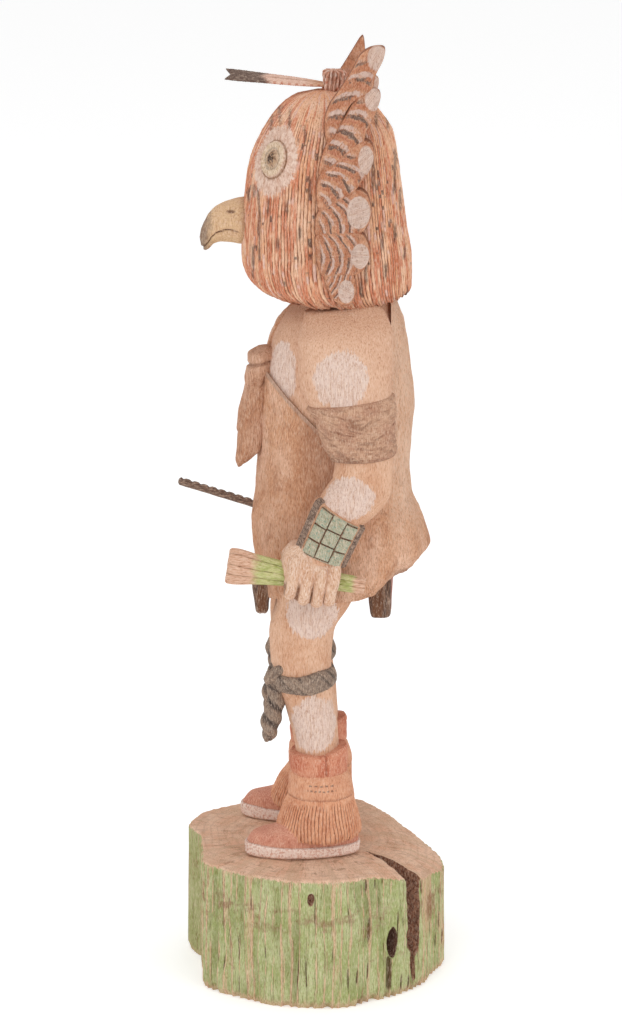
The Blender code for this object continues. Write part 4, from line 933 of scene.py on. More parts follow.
def bare_side_cutter():
    """The prism that bares the doll's left side, its lower edge a little uneven."""
    edge = []
    for start, end in zip(BARE_SIDE, BARE_SIDE[1:] + BARE_SIDE[:1]):
        steps = 1 + int(math.dist(start, end) / 1.2)
        for step in range(steps):
            edge.append([blend(a, b, step / steps) for a, b in zip(start, end)])
    edge = np.array(edge)
    shift = 0.30 * lumps(place_3d(edge), (3.0, 3.0, 1.0), 65)
    layers = []
    for x in (BARE_FROM, 60.0):
        layers.append(np.stack([np.full(len(edge), x), edge[:, 0], edge[:, 1] + shift], axis=-1))
    return loft("bare_side", np.array(layers))


def settle(piece):
    """Makes what a piece's modifiers show its own mesh."""
    bpy.context.view_layer.update()
    shown = piece.evaluated_get(bpy.context.evaluated_depsgraph_get())
    mesh = bpy.data.meshes.new_from_object(shown)
    piece.modifiers.clear()
    piece.data = mesh


def mesh_points(piece):
    """The points of a piece's mesh in the tables' millimetres."""
    places = np.empty(len(piece.data.vertices) * 3)
    piece.data.vertices.foreach_get("co", places)
    return (places.reshape(-1, 3) - ORIGIN) / MM


def give_mark(piece, name, values):
    layer = piece.data.attributes.new(name, "FLOAT", "POINT")
    layer.data.foreach_set("value", np.asarray(values, dtype=np.float32))


def distance_to_line(spots, line):
    """Distance of flat spots from a broken line."""
    best = np.full(len(spots), 1e9)
    for start, end in zip(line, line[1:]):
        start, run = np.array(start), np.array(end) - np.array(start)
        t = np.clip(((spots - start) @ run) / (run @ run), 0.0, 1.0)
        best = np.minimum(best, np.linalg.norm(spots - start - t[:, None] * run, axis=1))
    return best


def robe_edge_share(spots):
    away = distance_to_line(spots[:, 1:], BARE_SIDE[1:8])
    return ramp(2.3, 0.5, away) * ramp(1.0, 4.0, spots[:, 0])


def hem_depth(spots):
    """How far points lie inside the outline of the robe below its flare."""
    front, back, half = smooth_rows(ROBE, np.full(len(spots), 145.0))
    middle = (front + back) / 2
    share = np.abs(spots[:, 0] / half) ** ROBE_SQUARENESS
    share += np.abs((spots[:, 1] - middle) / (back - middle)) ** ROBE_SQUARENESS
    inside = (1.0 - share ** (1.0 / ROBE_SQUARENESS)) * half
    return inside * ramp(152.0, 148.0, spots[:, 2])


def hide_finish(name="hide_wash", tone=0.0):
    """Tan hide with short upright strokes of fur; tone darkens it towards brown."""
    finish = Finish(name, 0.9)
    edge, under = finish.mark("edge"), finish.mark("under")
    strokes = finish.noise((0.45, 0.45, 3.4), 3.0, 0.62)
    fine = finish.noise((0.28, 0.28, 1.5), 2.0, 0.6, shift=5.0)
    drift = finish.noise((9.0, 9.0, 17.0), 3.0, shift=2.0)
    smudge = finish.noise((5.0, 5.0, 7.0), 3.0, 0.6, shift=14.0)
    ground = finish.mix(drift.ramp(0.36, 0.66), HIDE_TAN, HIDE_LIGHT)
    ground = finish.mix(strokes.ramp(0.46, 0.66) * 0.6, ground, paint(172, 116, 82))
    ground = finish.mix(fine.ramp(0.50, 0.66) * 0.45, ground, HIDE_LIGHT)
    ground = finish.mix(fine.ramp(0.46, 0.34) * strokes.ramp(0.54, 0.40) * 0.8, ground, HIDE_DARK)
    ground = finish.mix(smudge.ramp(0.54, 0.66) * 0.4, ground, HIDE_DARK)
    x, y, z = finish.axis("X"), finish.axis("Y"), finish.axis("Z")
    # painted shadow: darker brown in the armpit
    armpit_shadow = finish.near((22.0, 4.0, 190.0), (16.0, 13.0, 26.0)).ramp(1.05, 0.35)
    ground = finish.mix(armpit_shadow * 0.5, ground, paint(158, 108, 84))
    behind_arm = y.ramp(23.5, 27.0) * z.ramp(150.0, 176.0)
    ground = finish.mix(behind_arm * fine.ramp(0.62, 0.42) * 0.75, ground, paint(232, 198, 172))
    front_low = y.ramp(16.0, 0.0) * z.ramp(200.0, 180.0)
    ground = finish.mix(front_low * 0.3, ground, paint(186, 126, 88))
    grey = (edge + (fine - 0.5) * 0.4).ramp(0.35, 0.8) * y.ramp(4.0, -3.0)
    ground = finish.mix(grey * 0.7, ground, paint(182, 152, 134))
    # painted shade: dark brown inside the hem, in creases and along the sleeve's lower edge
    ground = finish.mix(under * 0.55, ground, paint(120, 78, 56))
    if tone > 0.0:
        ground = finish.mix(tone, ground, paint(168, 116, 90))
    return finish.wear(ground, strokes * 1.1 + fine * 0.8, 0.34)


# Painted spots of chalk on the skin: middle, half sizes
CHEST_SPOT = ((20.0, -11.8, 217.9), (14.0, 6.0, 11.4))
UPPER_ARM_SPOT = ((34.0, 8.4, 218.5), (10.0, 9.4, 9.8))
FOREARM_SPOT = ((36.0, 11.4, 178.4), (10.0, 8.8, 7.2))
THIGH_SPOT = ((25.0, -0.8, 134.6), (12.0, 9.2, 8.4))
SHIN_SPOT = ((23.0, -0.2, 94.8), (12.0, 8.2, 10.6))


def skin_finish():
    """Smooth tan skin with brushed spots of chalk on chest, arms and legs."""
    finish = Finish("skin_wash", 0.86)
    grain = finish.noise((0.5, 0.5, 4.5), 3.0, 0.6)
    speckle = finish.noise((0.5, 0.5, 0.6), 3.0, 0.65, shift=6.0)
    drift = finish.noise((8.0, 8.0, 12.0), 3.0, shift=2.0)
    ground = finish.mix(drift.ramp(0.34, 0.66), SKIN_TAN, SKIN_LIGHT)
    ground = finish.mix(grain.ramp(0.5, 0.75) * 0.35, ground, SKIN_BROWN)
    ground = finish.mix(speckle.ramp(0.58, 0.75) * 0.35, ground, SKIN_BROWN)
    x, y, z = finish.axis("X"), finish.axis("Y"), finish.axis("Z")
    chest = z.ramp(198.0, 212.0)
    ground = finish.mix(chest * 0.5, ground, paint(222, 182, 156))
    # painted shadow: darker skin under the overhanging mask
    hood_shadow = (z + (drift - 0.5) * 8.0).ramp(229.0, 238.0)
    ground = finish.mix(hood_shadow * 0.5, ground, paint(194, 140, 108))
    shade = (y + (drift - 0.5) * 6.0).ramp(2.0, -9.0) * z.ramp(204.0, 214.0)
    ground = finish.mix(shade * 0.25, ground, paint(196, 142, 110))
    ragged = finish.noise((0.8, 0.8, 3.6), 2.0, 0.6, shift=23.0)
    broad = finish.noise((3.4, 3.4, 3.4), 2.0, 0.5, shift=27.0)
    white = finish.mix(grain.ramp(0.42, 0.66) * 0.8, paint(226, 202, 190), paint(204, 166, 144))
    white = finish.mix(speckle.ramp(0.54, 0.66) * 0.6, white, paint(240, 224, 214))
    sharp_edge = y.ramp(-5.9, -6.7)
    spots = None
    for spot, size in (CHEST_SPOT, UPPER_ARM_SPOT, FOREARM_SPOT, THIGH_SPOT, SHIN_SPOT):
        for side in (1.0, -1.0):
            away = finish.near((side * spot[0], spot[1], spot[2]), size)
            away = away + (ragged - 0.5) * 0.5 + (broad - 0.5) * 0.3
            one = away.ramp(1.03, 0.93)
            if spot is CHEST_SPOT[0]:
                one = one * sharp_edge
            spots = one if spots is None else spots.math("MAXIMUM", spots, one)
    ground = finish.mix(spots * 0.93, ground, white)
    return finish.wear(ground, grain * 0.8 + speckle * 0.6, 0.22)


# Knot of the robe and its hanging ends: height, front, back, middle across, half width
KNOT = (
    (208.6, -21.6, -16.6, 3.6, 3.0),
    (211.2, -23.5, -14.6, 3.8, 4.8),
    (214.5, -23.6, -13.8, 4.0, 5.8),
    (218.2, -22.6, -13.4, 4.2, 5.8),
    (221.0, -22.4, -13.4, 4.2, 5.6),
    (223.4, -19.2, -14.0, 4.0, 3.2),
)
NEAR_END = (
    (181.8, -26.4, -25.0, 6.4, 1.0),
    (184.4, -27.1, -22.2, 6.4, 3.0),
    (189.6, -26.5, -17.4, 6.2, 4.2),
    (196.6, -25.6, -16.6, 5.8, 4.0),
    (206.0, -24.0, -16.0, 5.0, 3.6),
    (213.0, -22.6, -15.4, 4.2, 3.2),
)
FAR_END = (
    (189.8, -25.4, -23.6, -2.2, 1.2),
    (193.4, -26.6, -18.0, -2.0, 3.6),
    (200.0, -25.8, -16.0, -1.0, 4.2),
    (207.0, -24.6, -15.4, 1.0, 4.0),
    (213.0, -23.2, -14.6, 2.6, 3.6),
)


def drifting_rings(table, heights, turn, squareness=2.0, side=1.0):
    front, back, across, half = smooth_rows(table, heights)
    middle = (front + back) / 2
    px, py = oval(
        side * across[:, None], middle[:, None], half[:, None], (back - middle)[:, None],
        turn[None, :], squareness,
    )
    pz = np.broadcast_to(np.asarray(heights, dtype=float)[:, None], px.shape)
    return np.stack([px, py, pz], axis=-1)


def make_knot(finish):
    turn = turns(100)
    heights = np.linspace(KNOT[0][0], KNOT[-1][0], 50)
    rings = drifting_rings(KNOT, heights, turn)
    pleats = np.sin(turn * 9.0)[None, :] * ramp(216.0, 212.0, heights)[:, None]
    crease = np.exp(-((rings[..., 2] - 218.3 - 0.8 * np.sin(turn)[None, :]) / 0.5) ** 2)
    relief = 0.42 * pleats - 0.8 * crease + 0.4 * lumps(rings, (2.2, 2.2, 3.0), 71)
    # under marks the knot's crease, where painted shade goes
    marks = {"edge": crease * 0.0, "under": crease * 0.8}
    knot = loft("robe_knot", carve(rings, relief), marks, tip=(4.0, -16.6, 223.9))
    finished(knot, "figure", finish)
    for name, table in (("near_flap", NEAR_END), ("far_flap", FAR_END)):
        heights = np.linspace(table[0][0], table[-1][0], 76)
        rings = drifting_rings(table, heights, turn, squareness=2.5)
        crease = np.exp(-((turn + 2.0 - 2.0 * math.pi) / 0.16) ** 2)[None, :]
        crease = crease + np.exp(-((turn - 5.5) / 0.13) ** 2)[None, :] * 0.6
        crease = crease * ramp(table[0][0] + 3.0, table[0][0] + 9.0, heights)[:, None]
        relief = -0.6 * crease + 0.4 * lumps(rings, (2.6, 2.6, 7.0), 72)
        relief = relief + 0.18 * lumps(rings, (0.9, 0.9, 3.6), 73)
        # under marks the flap's creases, where painted shade goes
        marks = {"edge": 0.0 * crease, "under": crease * 0.7}
        flap = loft(name, carve(rings, relief), marks)
        finished(flap, "figure", finish)


# Tails of the hide below the hem: across, front, back, half width, top, bottom
HIDE_TAILS = (
    ("front_tail", 13.0, -21.6, -14.8, 4.2, 146.0, 132.6),
    ("back_tail", 9.0, 17.8, 27.2, 4.2, 150.0, 129.8),
)


def make_tails():
    finish = Finish("tail_paint", 0.88)
    strokes = finish.noise((0.5, 0.5, 3.6), 3.0, 0.6)
    colour = finish.mix(strokes.ramp(0.38, 0.68), paint(96, 76, 68), paint(146, 112, 90))
    core = finish.near((18.0, -18.0, 138.0), (3.0, 1.7, 5.6)).ramp(1.15, 0.8)
    core = core.math("MAXIMUM", core, finish.near((14.0, 21.6, 136.0), (3.0, 2.2, 8.0)).ramp(1.1, 0.8))
    colour = finish.mix(core * 0.75, colour, paint(122, 80, 54))
    pink = finish.axis("Y").ramp(25.9, 26.8)
    colour = finish.mix(pink * 0.8, colour, paint(214, 140, 130))
    pale = finish.axis("Z").ramp(133.8, 132.8) * finish.axis("Y").ramp(0.0, -5.0)
    colour = finish.mix(pale * 0.6, colour, paint(190, 168, 156))
    worn = finish.wear(colour, strokes, 0.3)
    for name, x, front, back, half, top, bottom in HIDE_TAILS:
        table = (
            (bottom, front + 1.8, back - 1.6, half - 0.9),
            (bottom + 0.4, front + 1.5, back - 1.3, half - 0.2),
            (bottom + 0.9, front + 1.3, back - 1.1, half),
            (top, front, back, half),
        )
        heights = np.linspace(bottom, top, 40)
        rings = stack_rings(table, heights, turns(90), x=x, squareness=4.0)
        relief = 0.18 * lumps(rings, (0.9, 0.9, 6.0), 75) + 0.15 * lumps(rings, (2.5, 2.5, 5.0), 76)
        finished(loft(name, carve(rings, relief)), "figure", worn)


# Left arm from shoulder to wrist: across, back, height, half depth, half width
ARM = (
    (17.0, 9.0, 240.0, 12.5, 7.0),
    (22.4, 10.2, 230.0, 16.0, 8.8),
    (24.8, 10.3, 219.0, 15.9, 9.3),
    (25.8, 13.0, 208.0, 13.3, 9.2),
    (26.6, 14.7, 198.0, 11.3, 8.9),
    (27.4, 16.6, 190.0, 9.9, 8.6),
    (28.2, 15.8, 181.5, 10.2, 8.3),
    (29.2, 9.0, 172.5, 8.8, 7.8),
    (30.6, 5.0, 164.6, 8.4, 7.2),
    (31.6, 1.8, 157.4, 8.2, 6.6),
    (32.2, -0.4, 152.0, 7.8, 5.8),
)
ARMBAND = (212.4, 190.4)
ARMBAND_PROUD = 1.2
# How far the fur band's top falls short of square at its back
ARMBAND_DROP = 4.6
SLEEVE = (236.0, 186.0)
SLEEVE_PROUD = 1.3
WRISTBAND = (172.6, 157.2)
WRISTBAND_PROUD = 0.9
SIDES = (("left", 1.0), ("right", -1.0))


def arm_rings(heights, proud, turn, side):
    """Rings square to the arm's run, standing proud of it by a width for each ring."""
    rows = [(z, x, y, half_y, half_x) for x, y, z, half_y, half_x in ARM]
    x, y, half_y, half_x = smooth_rows(rows, heights)
    above, below = smooth_rows(rows, heights + 2.0), smooth_rows(rows, heights - 2.0)
    lean_y = (above[1] - below[1])
    lean_z = np.clip(heights + 2.0, 152.0, 240.0) - np.clip(heights - 2.0, 152.0, 240.0)
    length = np.hypot(lean_y, lean_z)
    along_y, along_z = lean_z / length, -lean_y / length
    reach_x, reach_y = (half_x + proud)[:, None], (half_y + proud)[:, None]
    sine, cosine = np.sin(turn)[None, :], np.cos(turn)[None, :]
    return np.stack([
        side * (x[:, None] + reach_x * cosine),
        y[:, None] + along_y[:, None] * reach_y * sine,
        np.asarray(heights)[:, None] + along_z[:, None] * reach_y * sine,
    ], axis=-1)


def band_edge(heights, top, bottom, proud, edge=1.1, sunk=0.4):
    """How far a band stands proud of a limb: rounded at both rims, sunk at its ends."""
    inside = np.minimum(top - heights, heights - bottom)
    return blend(-sunk, proud, np.sqrt(np.clip(inside / edge, 0.0, 1.0)))


def make_arm(name, side, finish):
    heights = np.linspace(240.0, 152.0, 90)
    rings = arm_rings(heights, 0.0 * heights, turns(90), side)
    relief = 0.22 * lumps(rings, (6.0, 6.0, 9.0), 81) + 0.06 * lumps(rings, (0.9, 0.9, 2.5), 82)
    finished(loft("%s_arm" % name, carve(rings, relief)), "figure", finish)


def make_armband():
    """The fur band on the left upper arm, its strokes sweeping down and back."""
    top, bottom = ARMBAND
    heights = np.linspace(top, bottom, 62)
    turn = turns(280)
    rings = arm_rings(heights, band_edge(heights, top, bottom, ARMBAND_PROUD), turn, 1.0)
    upper = ((heights - bottom) / (top - bottom))[:, None]
    rings[..., 2] -= ARMBAND_DROP * upper * (0.5 + 0.5 * np.sin(turn))[None, :]
    around = rings[..., 1]
    sweep = 2.6 * lumps(rings, (7.0, 7.0, 7.0), 84)
    sag = 0.016 * (around - 14.0) ** 2
    strokes_at = np.stack([rings[..., 0], around, rings[..., 2] + sweep - sag], axis=-1)
    strokes = lumps(strokes_at, (3.0, 3.0, 0.62), 85) + 0.7 * lumps(strokes_at, (1.6, 1.6, 0.42), 86)
    inside = ramp(0.0, 1.6, np.minimum(top - heights, heights - bottom))[:, None]
    relief = (0.26 * strokes + 0.2 * lumps(rings, (5.0, 5.0, 4.0), 87)) * inside
    marks = {"cut": ramp(0.1, -0.9, strokes) * inside, "rim": 1.0 - inside + 0.0 * strokes}
    band = loft("fur_armband", carve(rings, relief), marks)
    finish = Finish("fur_paint", 0.9)
    cut, rim = finish.mark("cut"), finish.mark("rim")
    fleck = finish.noise((1.6, 1.6, 0.5), 3.0, 0.65)
    drift = finish.noise((7.0, 7.0, 5.0), 2.0, shift=4.0)
    colour = finish.mix(drift.ramp(0.35, 0.65), paint(192, 146, 120), paint(206, 164, 136))
    colour = finish.mix(fleck.ramp(0.45, 0.72) * 0.55, colour, paint(160, 112, 88))
    colour = finish.mix(fleck.ramp(0.42, 0.26) * 0.5, colour, paint(222, 186, 160))
    # painted shade: darker brown in the sunk strokes of the fur
    colour = finish.mix(cut * 0.55, colour, paint(132, 90, 68))
    low = finish.axis("Z").ramp(193.4, 190.8) * 0.5
    colour = finish.mix(low * fleck.ramp(0.3, 0.6), colour, paint(112, 76, 58))
    colour = finish.mix(rim * 0.3, colour, paint(148, 100, 76))
    finished(band, "figure", finish.wear(colour, fleck, 0.3))


def make_sleeve(finish):
    """The robe's fall over the right arm."""
    top, bottom = SLEEVE
    heights = np.linspace(top, bottom, 100)
    proud = band_edge(heights, top, bottom, SLEEVE_PROUD) + 0.6 * ramp(192.0, bottom, heights)
    rings = arm_rings(heights, proud, turns(120), -1.0)
    relief = 0.11 * lumps(rings, (0.9, 0.9, 4.2), 62) + 0.13 * lumps(rings, (1.8, 1.8, 7.0), 63)
    relief = relief + 0.3 * lumps(rings, (7.0, 7.0, 12.0), 88)
    edge = ramp(bottom + 1.5, bottom, heights)[:, None]
    # under marks the sleeve's lower edge, where painted shade goes
    marks = {"edge": edge * 0.0, "under": edge * 0.6}
    sleeve = loft("robe_sleeve", carve(rings, relief), marks)
    finished(sleeve, "figure", finish)


GUARD_CELLS = 3
# Half angles that the green plate and the dark pads beside it reach on the wrist
PLATE_REACH = math.radians(47.0)
PAD_REACH = math.radians(78.0)


def make_wristguard(name, side, finish):
    """A leather band with a raised plate in nine green cells between two dark pads."""
    top, bottom = WRISTBAND
    heights = np.linspace(top, bottom, 90)
    turn = turns(210)
    rings = arm_rings(heights, band_edge(heights, top, bottom, WRISTBAND_PROUD, 0.9), turn, side)
    bearing = np.where(turn > math.pi, turn - 2.0 * math.pi, turn)[None, :]
    down = ((top - heights) / (top - bottom))[:, None]
    on_plate = (np.abs(bearing) < PLATE_REACH) & (down > 0.05) & (down < 0.95)
    across_cell = (bearing / PLATE_REACH + 1.0) / 2 * GUARD_CELLS
    step = 0.07 * np.sin(np.floor(across_cell) * 2.3)
    down_cell = (down - 0.05) / 0.90 * GUARD_CELLS + step
    to_joint = np.minimum(
        np.abs(across_cell - np.round(across_cell)) * 4.4, np.abs(down_cell - np.round(down_cell)) * 5.2
    )
    to_joint = to_joint * (1.5 + 0.5 * lumps(rings, (2.2, 2.2, 2.2), 92))
    plate = ramp(0.0, 0.5, np.minimum(PLATE_REACH - np.abs(bearing), 0.2) * 8.0)
    plate = plate * ramp(0.03, 0.06, down) * ramp(0.97, 0.94, down)
    groove = ramp(0.42, 0.18, to_joint) * on_plate
    pad = ramp(0.0, 0.6, (PAD_REACH - np.abs(bearing)) * 8.0)
    pad = pad * ramp(0.0, 0.6, (np.abs(bearing) - PLATE_REACH - 0.03) * 8.0)
    relief = 0.75 * plate - 0.75 * groove + 0.55 * pad + 0.06 * lumps(rings, (0.8, 0.8, 0.8), 91)
    marks = {"plate": plate, "groove": groove + 0.0 * plate, "pad": pad + 0.0 * plate}
    guard = loft("%s_wristguard" % name, carve(rings, relief), marks)
    finished(guard, "figure", finish, sharp=50.0)


def guard_finish():
    finish = Finish("guard_paint", 0.82)
    plate, groove, pad = finish.mark("plate"), finish.mark("groove"), finish.mark("pad")
    fleck = finish.noise((0.5, 0.5, 0.5), 3.0, 0.65)
    y, z = finish.axis("Y"), finish.axis("Z")
    slant = finish.node("ShaderNodeCombineXYZ", None, {0: finish.axis("X"), 1: y + z, 2: y - z})
    hatch = finish.noise((1.5, 0.45, 2.6), 2.0, 0.6, at=slant)
    tan = finish.mix(fleck.ramp(0.35, 0.7), paint(206, 160, 128), paint(184, 134, 104))
    green = finish.mix(hatch.ramp(0.35, 0.68), paint(162, 166, 142), paint(190, 180, 156))
    green = finish.mix(fleck.ramp(0.52, 0.64) * 0.5, green, paint(164, 132, 104))
    teal = finish.noise((0.7, 0.7, 0.5), 2.0, 0.6, shift=15.0)
    green = finish.mix(teal.ramp(0.55, 0.64) * 0.7, green, paint(106, 146, 132))
    grey = finish.mix(hatch.ramp(0.40, 0.60), paint(84, 68, 60), paint(150, 126, 110))
    colour = finish.mix(plate.ramp(0.3, 0.7), tan, green)
    colour = finish.mix(pad.ramp(0.3, 0.7) * 0.95, colour, grey)
    # painted shade: brown in the grooves between the plate's cells
    colour = finish.mix(groove.ramp(0.25, 0.7) * 0.9, colour, paint(120, 76, 52))
    return finish.wear(colour, hatch * 0.5 + fleck * 0.6, 0.2)


# Fist: height, front, back, middle across, half width
FIST = (
    (141.6, -6.0, 5.0, 32.0, 3.2),
    (144.0, -9.0, 7.0, 32.4, 5.0),
    (148.0, -11.0, 7.6, 32.8, 6.0),
    (153.0, -11.4, 8.2, 32.6, 6.4),
    (158.0, -11.2, 8.4, 31.8, 6.2),
    (162.0, -8.4, 7.0, 31.2, 5.2),
)
FINGER_ROOTS = (-6.7, -2.2, 2.2, 6.3)
FINGER_ENDS = (144.2, 142.2, 141.4, 141.8)
FINGER_WIDTH = 2.45
# Bend of a finger: across, back from its root, height above its end, radius as a share
FINGER_BEND = (
    (34.6, 0.6, 15.4, 0.64),
    (36.8, 0.2, 11.8, 1.0),
    (37.8, -0.6, 6.6, 1.0),
    (36.6, -1.4, 2.2, 1.0),
    (33.2, -1.7, 0.9, 0.87),
    (29.6, -1.7, 2.6, 0.68),
)
GRIP_MIDDLE = (33.0, -1.6, 150.2)


def rod_rings(middles, radii, turn, broad=1.0):
    """Rings along a bent middle line in the plane across the doll."""
    run = np.gradient(middles, axis=0)
    run /= np.linalg.norm(run, axis=1, keepdims=True)
    back = np.array([0.0, 1.0, 0.0])
    across = np.cross(run, back)
    across /= np.linalg.norm(across, axis=1, keepdims=True)
    side = np.cross(across, run)
    return middles[:, None, :] + radii[:, None, None] * (
        across[:, None, :] * np.cos(turn)[None, :, None]
        + broad * side[:, None, :] * np.sin(turn)[None, :, None]
    )


def make_hand(name, side, finish):
    heights = np.linspace(FIST[0][0], FIST[-1][0], 70)
    turn = turns(90)
    rings = drifting_rings(FIST, heights, turn, squareness=2.6, side=side)
    relief = 0.2 * lumps(rings, (3.0, 3.0, 4.0), 101) + 0.06 * lumps(rings, (0.6, 0.6, 1.8), 102)
    # gap marks where the fingers meet the palm and each other, where painted shade goes
    gap = ramp(152.5, 147.0, rings[..., 2])
    palm = loft("%s_palm" % name, carve(rings, relief - 0.3 * gap), {"gap": gap})
    finished(palm, "figure", finish)
    steps = np.linspace(0.0, len(FINGER_BEND) - 1.0, 46)
    bend_rows = [(index, *row) for index, row in enumerate(FINGER_BEND)]
    for index, (root, end) in enumerate(zip(FINGER_ROOTS, FINGER_ENDS)):
        x, back, above, share = smooth_rows(bend_rows, steps)
        middles = np.stack([side * x, root + back, end + above], axis=-1)
        round_turn = turns(32)
        rings = rod_rings(middles, share * FINGER_WIDTH, round_turn)
        knuckle = np.exp(-((steps - 2.0) / 0.5) ** 2)[:, None]
        relief = 0.12 * lumps(rings, (1.6, 1.6, 2.2), 104 + index) - 0.1 * knuckle
        between = np.abs(np.sin(round_turn))[None, :] ** 3 * ramp(1.6, 2.4, steps)[:, None]
        rings = carve(rings, relief - 0.22 * between)
        finger = loft("%s_finger_%d" % (name, index + 1), rings, {"gap": between})
        finished(finger, "figure", finish)
    thumb_bend = np.array([
        (27.6, -7.4, 157.0), (26.4, -9.6, 153.6), (27.2, -9.2, 149.4), (29.8, -7.6, 146.4),
    ])
    along = np.linspace(0.0, 3.0, 30)
    middles = np.stack([np.interp(along, range(4), column) for column in thumb_bend.T], axis=-1)
    middles[:, 0] *= side
    thumb = rod_rings(middles, 2.4 * np.sqrt(np.clip(np.sin(math.pi * (along + 0.5) / 4.2), 0.1, 1.0)), turns(30))
    piece = loft("%s_thumb" % name, thumb, {"gap": 0.0})
    finished(piece, "figure", finish)


def hand_finish():
    finish = Finish("hand_wash", 0.88)
    gap = finish.mark("gap")
    strokes = finish.noise((0.45, 0.45, 1.9), 3.0, 0.62)
    drift = finish.noise((5.0, 5.0, 5.0), 2.0, shift=3.0)
    colour = finish.mix(drift.ramp(0.35, 0.65), paint(216, 172, 142), paint(226, 188, 160))
    colour = finish.mix(strokes.ramp(0.50, 0.62) * 0.75, colour, paint(240, 216, 200))
    colour = finish.mix(strokes.ramp(0.46, 0.34) * 0.6, colour, paint(186, 134, 102))
    # painted shade: dark brown in the gaps between and under the fingers
    colour = finish.mix(gap.ramp(0.35, 0.95) * 0.85, colour, paint(132, 86, 58))
    return finish.wear(colour, strokes, 0.25)


# Bundle of green stems: share of its length from the butt, share of the way from tip to butt
BUNDLE_LENGTH = 46.8
BUNDLE_BUTT = 6.3
BUNDLE_TIP = 2.9
BUNDLE_STEMS = 9
BUNDLE_SLOPE = math.radians(9.0)
BUNDLE_TAPER = ((0.0, 1.0), (0.04, 1.04), (0.22, 0.72), (0.42, 0.42), (0.75, 0.12), (1.0, 0.0))
BUNDLE_AHEAD = 0.60
BUNDLE_FLATNESS = 0.82


def make_bundle():
    along = np.concatenate([[0.0, 0.004, 0.012], np.linspace(0.02, 0.988, 100), [0.996, 1.0]])
    size = blend(BUNDLE_TIP, BUNDLE_BUTT, smooth_rows(BUNDLE_TAPER, along)[0])
    size = size * blend(0.93, 1.0, ramp(0.0, 0.012, along)) * blend(0.9, 1.0, ramp(1.0, 0.988, along))
    turn = turns(140)
    lie = turn[None, :] + 0.5 * along[:, None]
    probe = np.stack([
        np.cos(turn)[None, :] * 4.0 + 0.0 * lie, np.sin(turn)[None, :] * 4.0 + 0.0 * lie,
        along[:, None] * 9.0 + 0.0 * lie,
    ], axis=-1)
    lie = lie + 0.12 * lumps(probe, (3.0, 3.0, 3.0), 111)
    stem = np.abs(np.cos(lie * BUNDLE_STEMS / 2.0)) ** 0.5
    small = np.abs(np.cos(lie * BUNDLE_STEMS * 1.5 + 0.7)) ** 0.5
    cut = (1.0 - stem) + 0.35 * (1.0 - small)
    reach = size[:, None] * (1.0 - 0.20 * (1.0 - stem) - 0.05 * (1.0 - small))
    reach = reach * (1.0 + 0.02 * lumps(probe, (1.2, 1.2, 1.6), 112) - 0.02)
    run = np.array([0.0, math.cos(BUNDLE_SLOPE), -math.sin(BUNDLE_SLOPE)])
    rise = np.array([0.0, math.sin(BUNDLE_SLOPE), math.cos(BUNDLE_SLOPE)])
    ragged = 0.5 * lumps(probe, (1.0, 1.0, 40.0), 113) * ramp(0.03, 0.0, along)[:, None]
    ragged = ragged * (reach / BUNDLE_BUTT) + 0.0
    middle = np.array(GRIP_MIDDLE)
    reach_along = ((along - BUNDLE_AHEAD) * BUNDLE_LENGTH)[:, None] + np.clip(ragged, 0.0, 1.0)
    rings = (
        middle + reach_along[..., None] * run
        + (BUNDLE_FLATNESS * reach * np.cos(turn))[..., None] * np.array([1.0, 0.0, 0.0])
        + (reach * np.sin(turn))[..., None] * rise
    )
    marks = {"along": along[:, None] + 0.0 * reach, "cut": cut}
    bundle = loft("green_bundle", rings, marks)
    finish = Finish("bundle_paint", 0.84)
    along, cut = finish.mark("along"), finish.mark("cut")
    grain = finish.noise((0.5, 3.6, 0.5), 3.0, 0.6)
    drift = finish.noise((2.5, 5.0, 2.5), 2.0, shift=3.0)
    green = finish.mix(drift.ramp(0.35, 0.65), paint(160, 168, 92), paint(196, 196, 132))
    green = finish.mix(grain.ramp(0.35, 0.7) * 0.5, green, paint(214, 210, 160))
    bare = finish.mix(grain.ramp(0.35, 0.68), paint(228, 188, 162), paint(206, 158, 130))
    at_butt = (along + (drift - 0.5) * 0.16 - cut * 0.03).ramp(0.235, 0.15)
    at_tip = (along + (drift - 0.5) * 0.1).ramp(0.90, 0.945)
    colour = finish.mix(at_butt.math("MAXIMUM", at_butt, at_tip), green, bare)
    # painted shade: dark olive in the lines between the stems
    colour = finish.mix(cut.ramp(0.55, 1.15) * 0.85, colour, paint(112, 88, 48))
    finished(
        bundle, "yucca_bundle", finish.wear(colour, grain, 0.25, PORE_ALONG), sharp=55.0
    )


STICK_LENGTH = 76.6
STICK_RADIUS = 1.5
STICK_SLOPE = math.radians(17.5)
STICK_NOTCHES = 24
STICK_AHEAD = 0.657


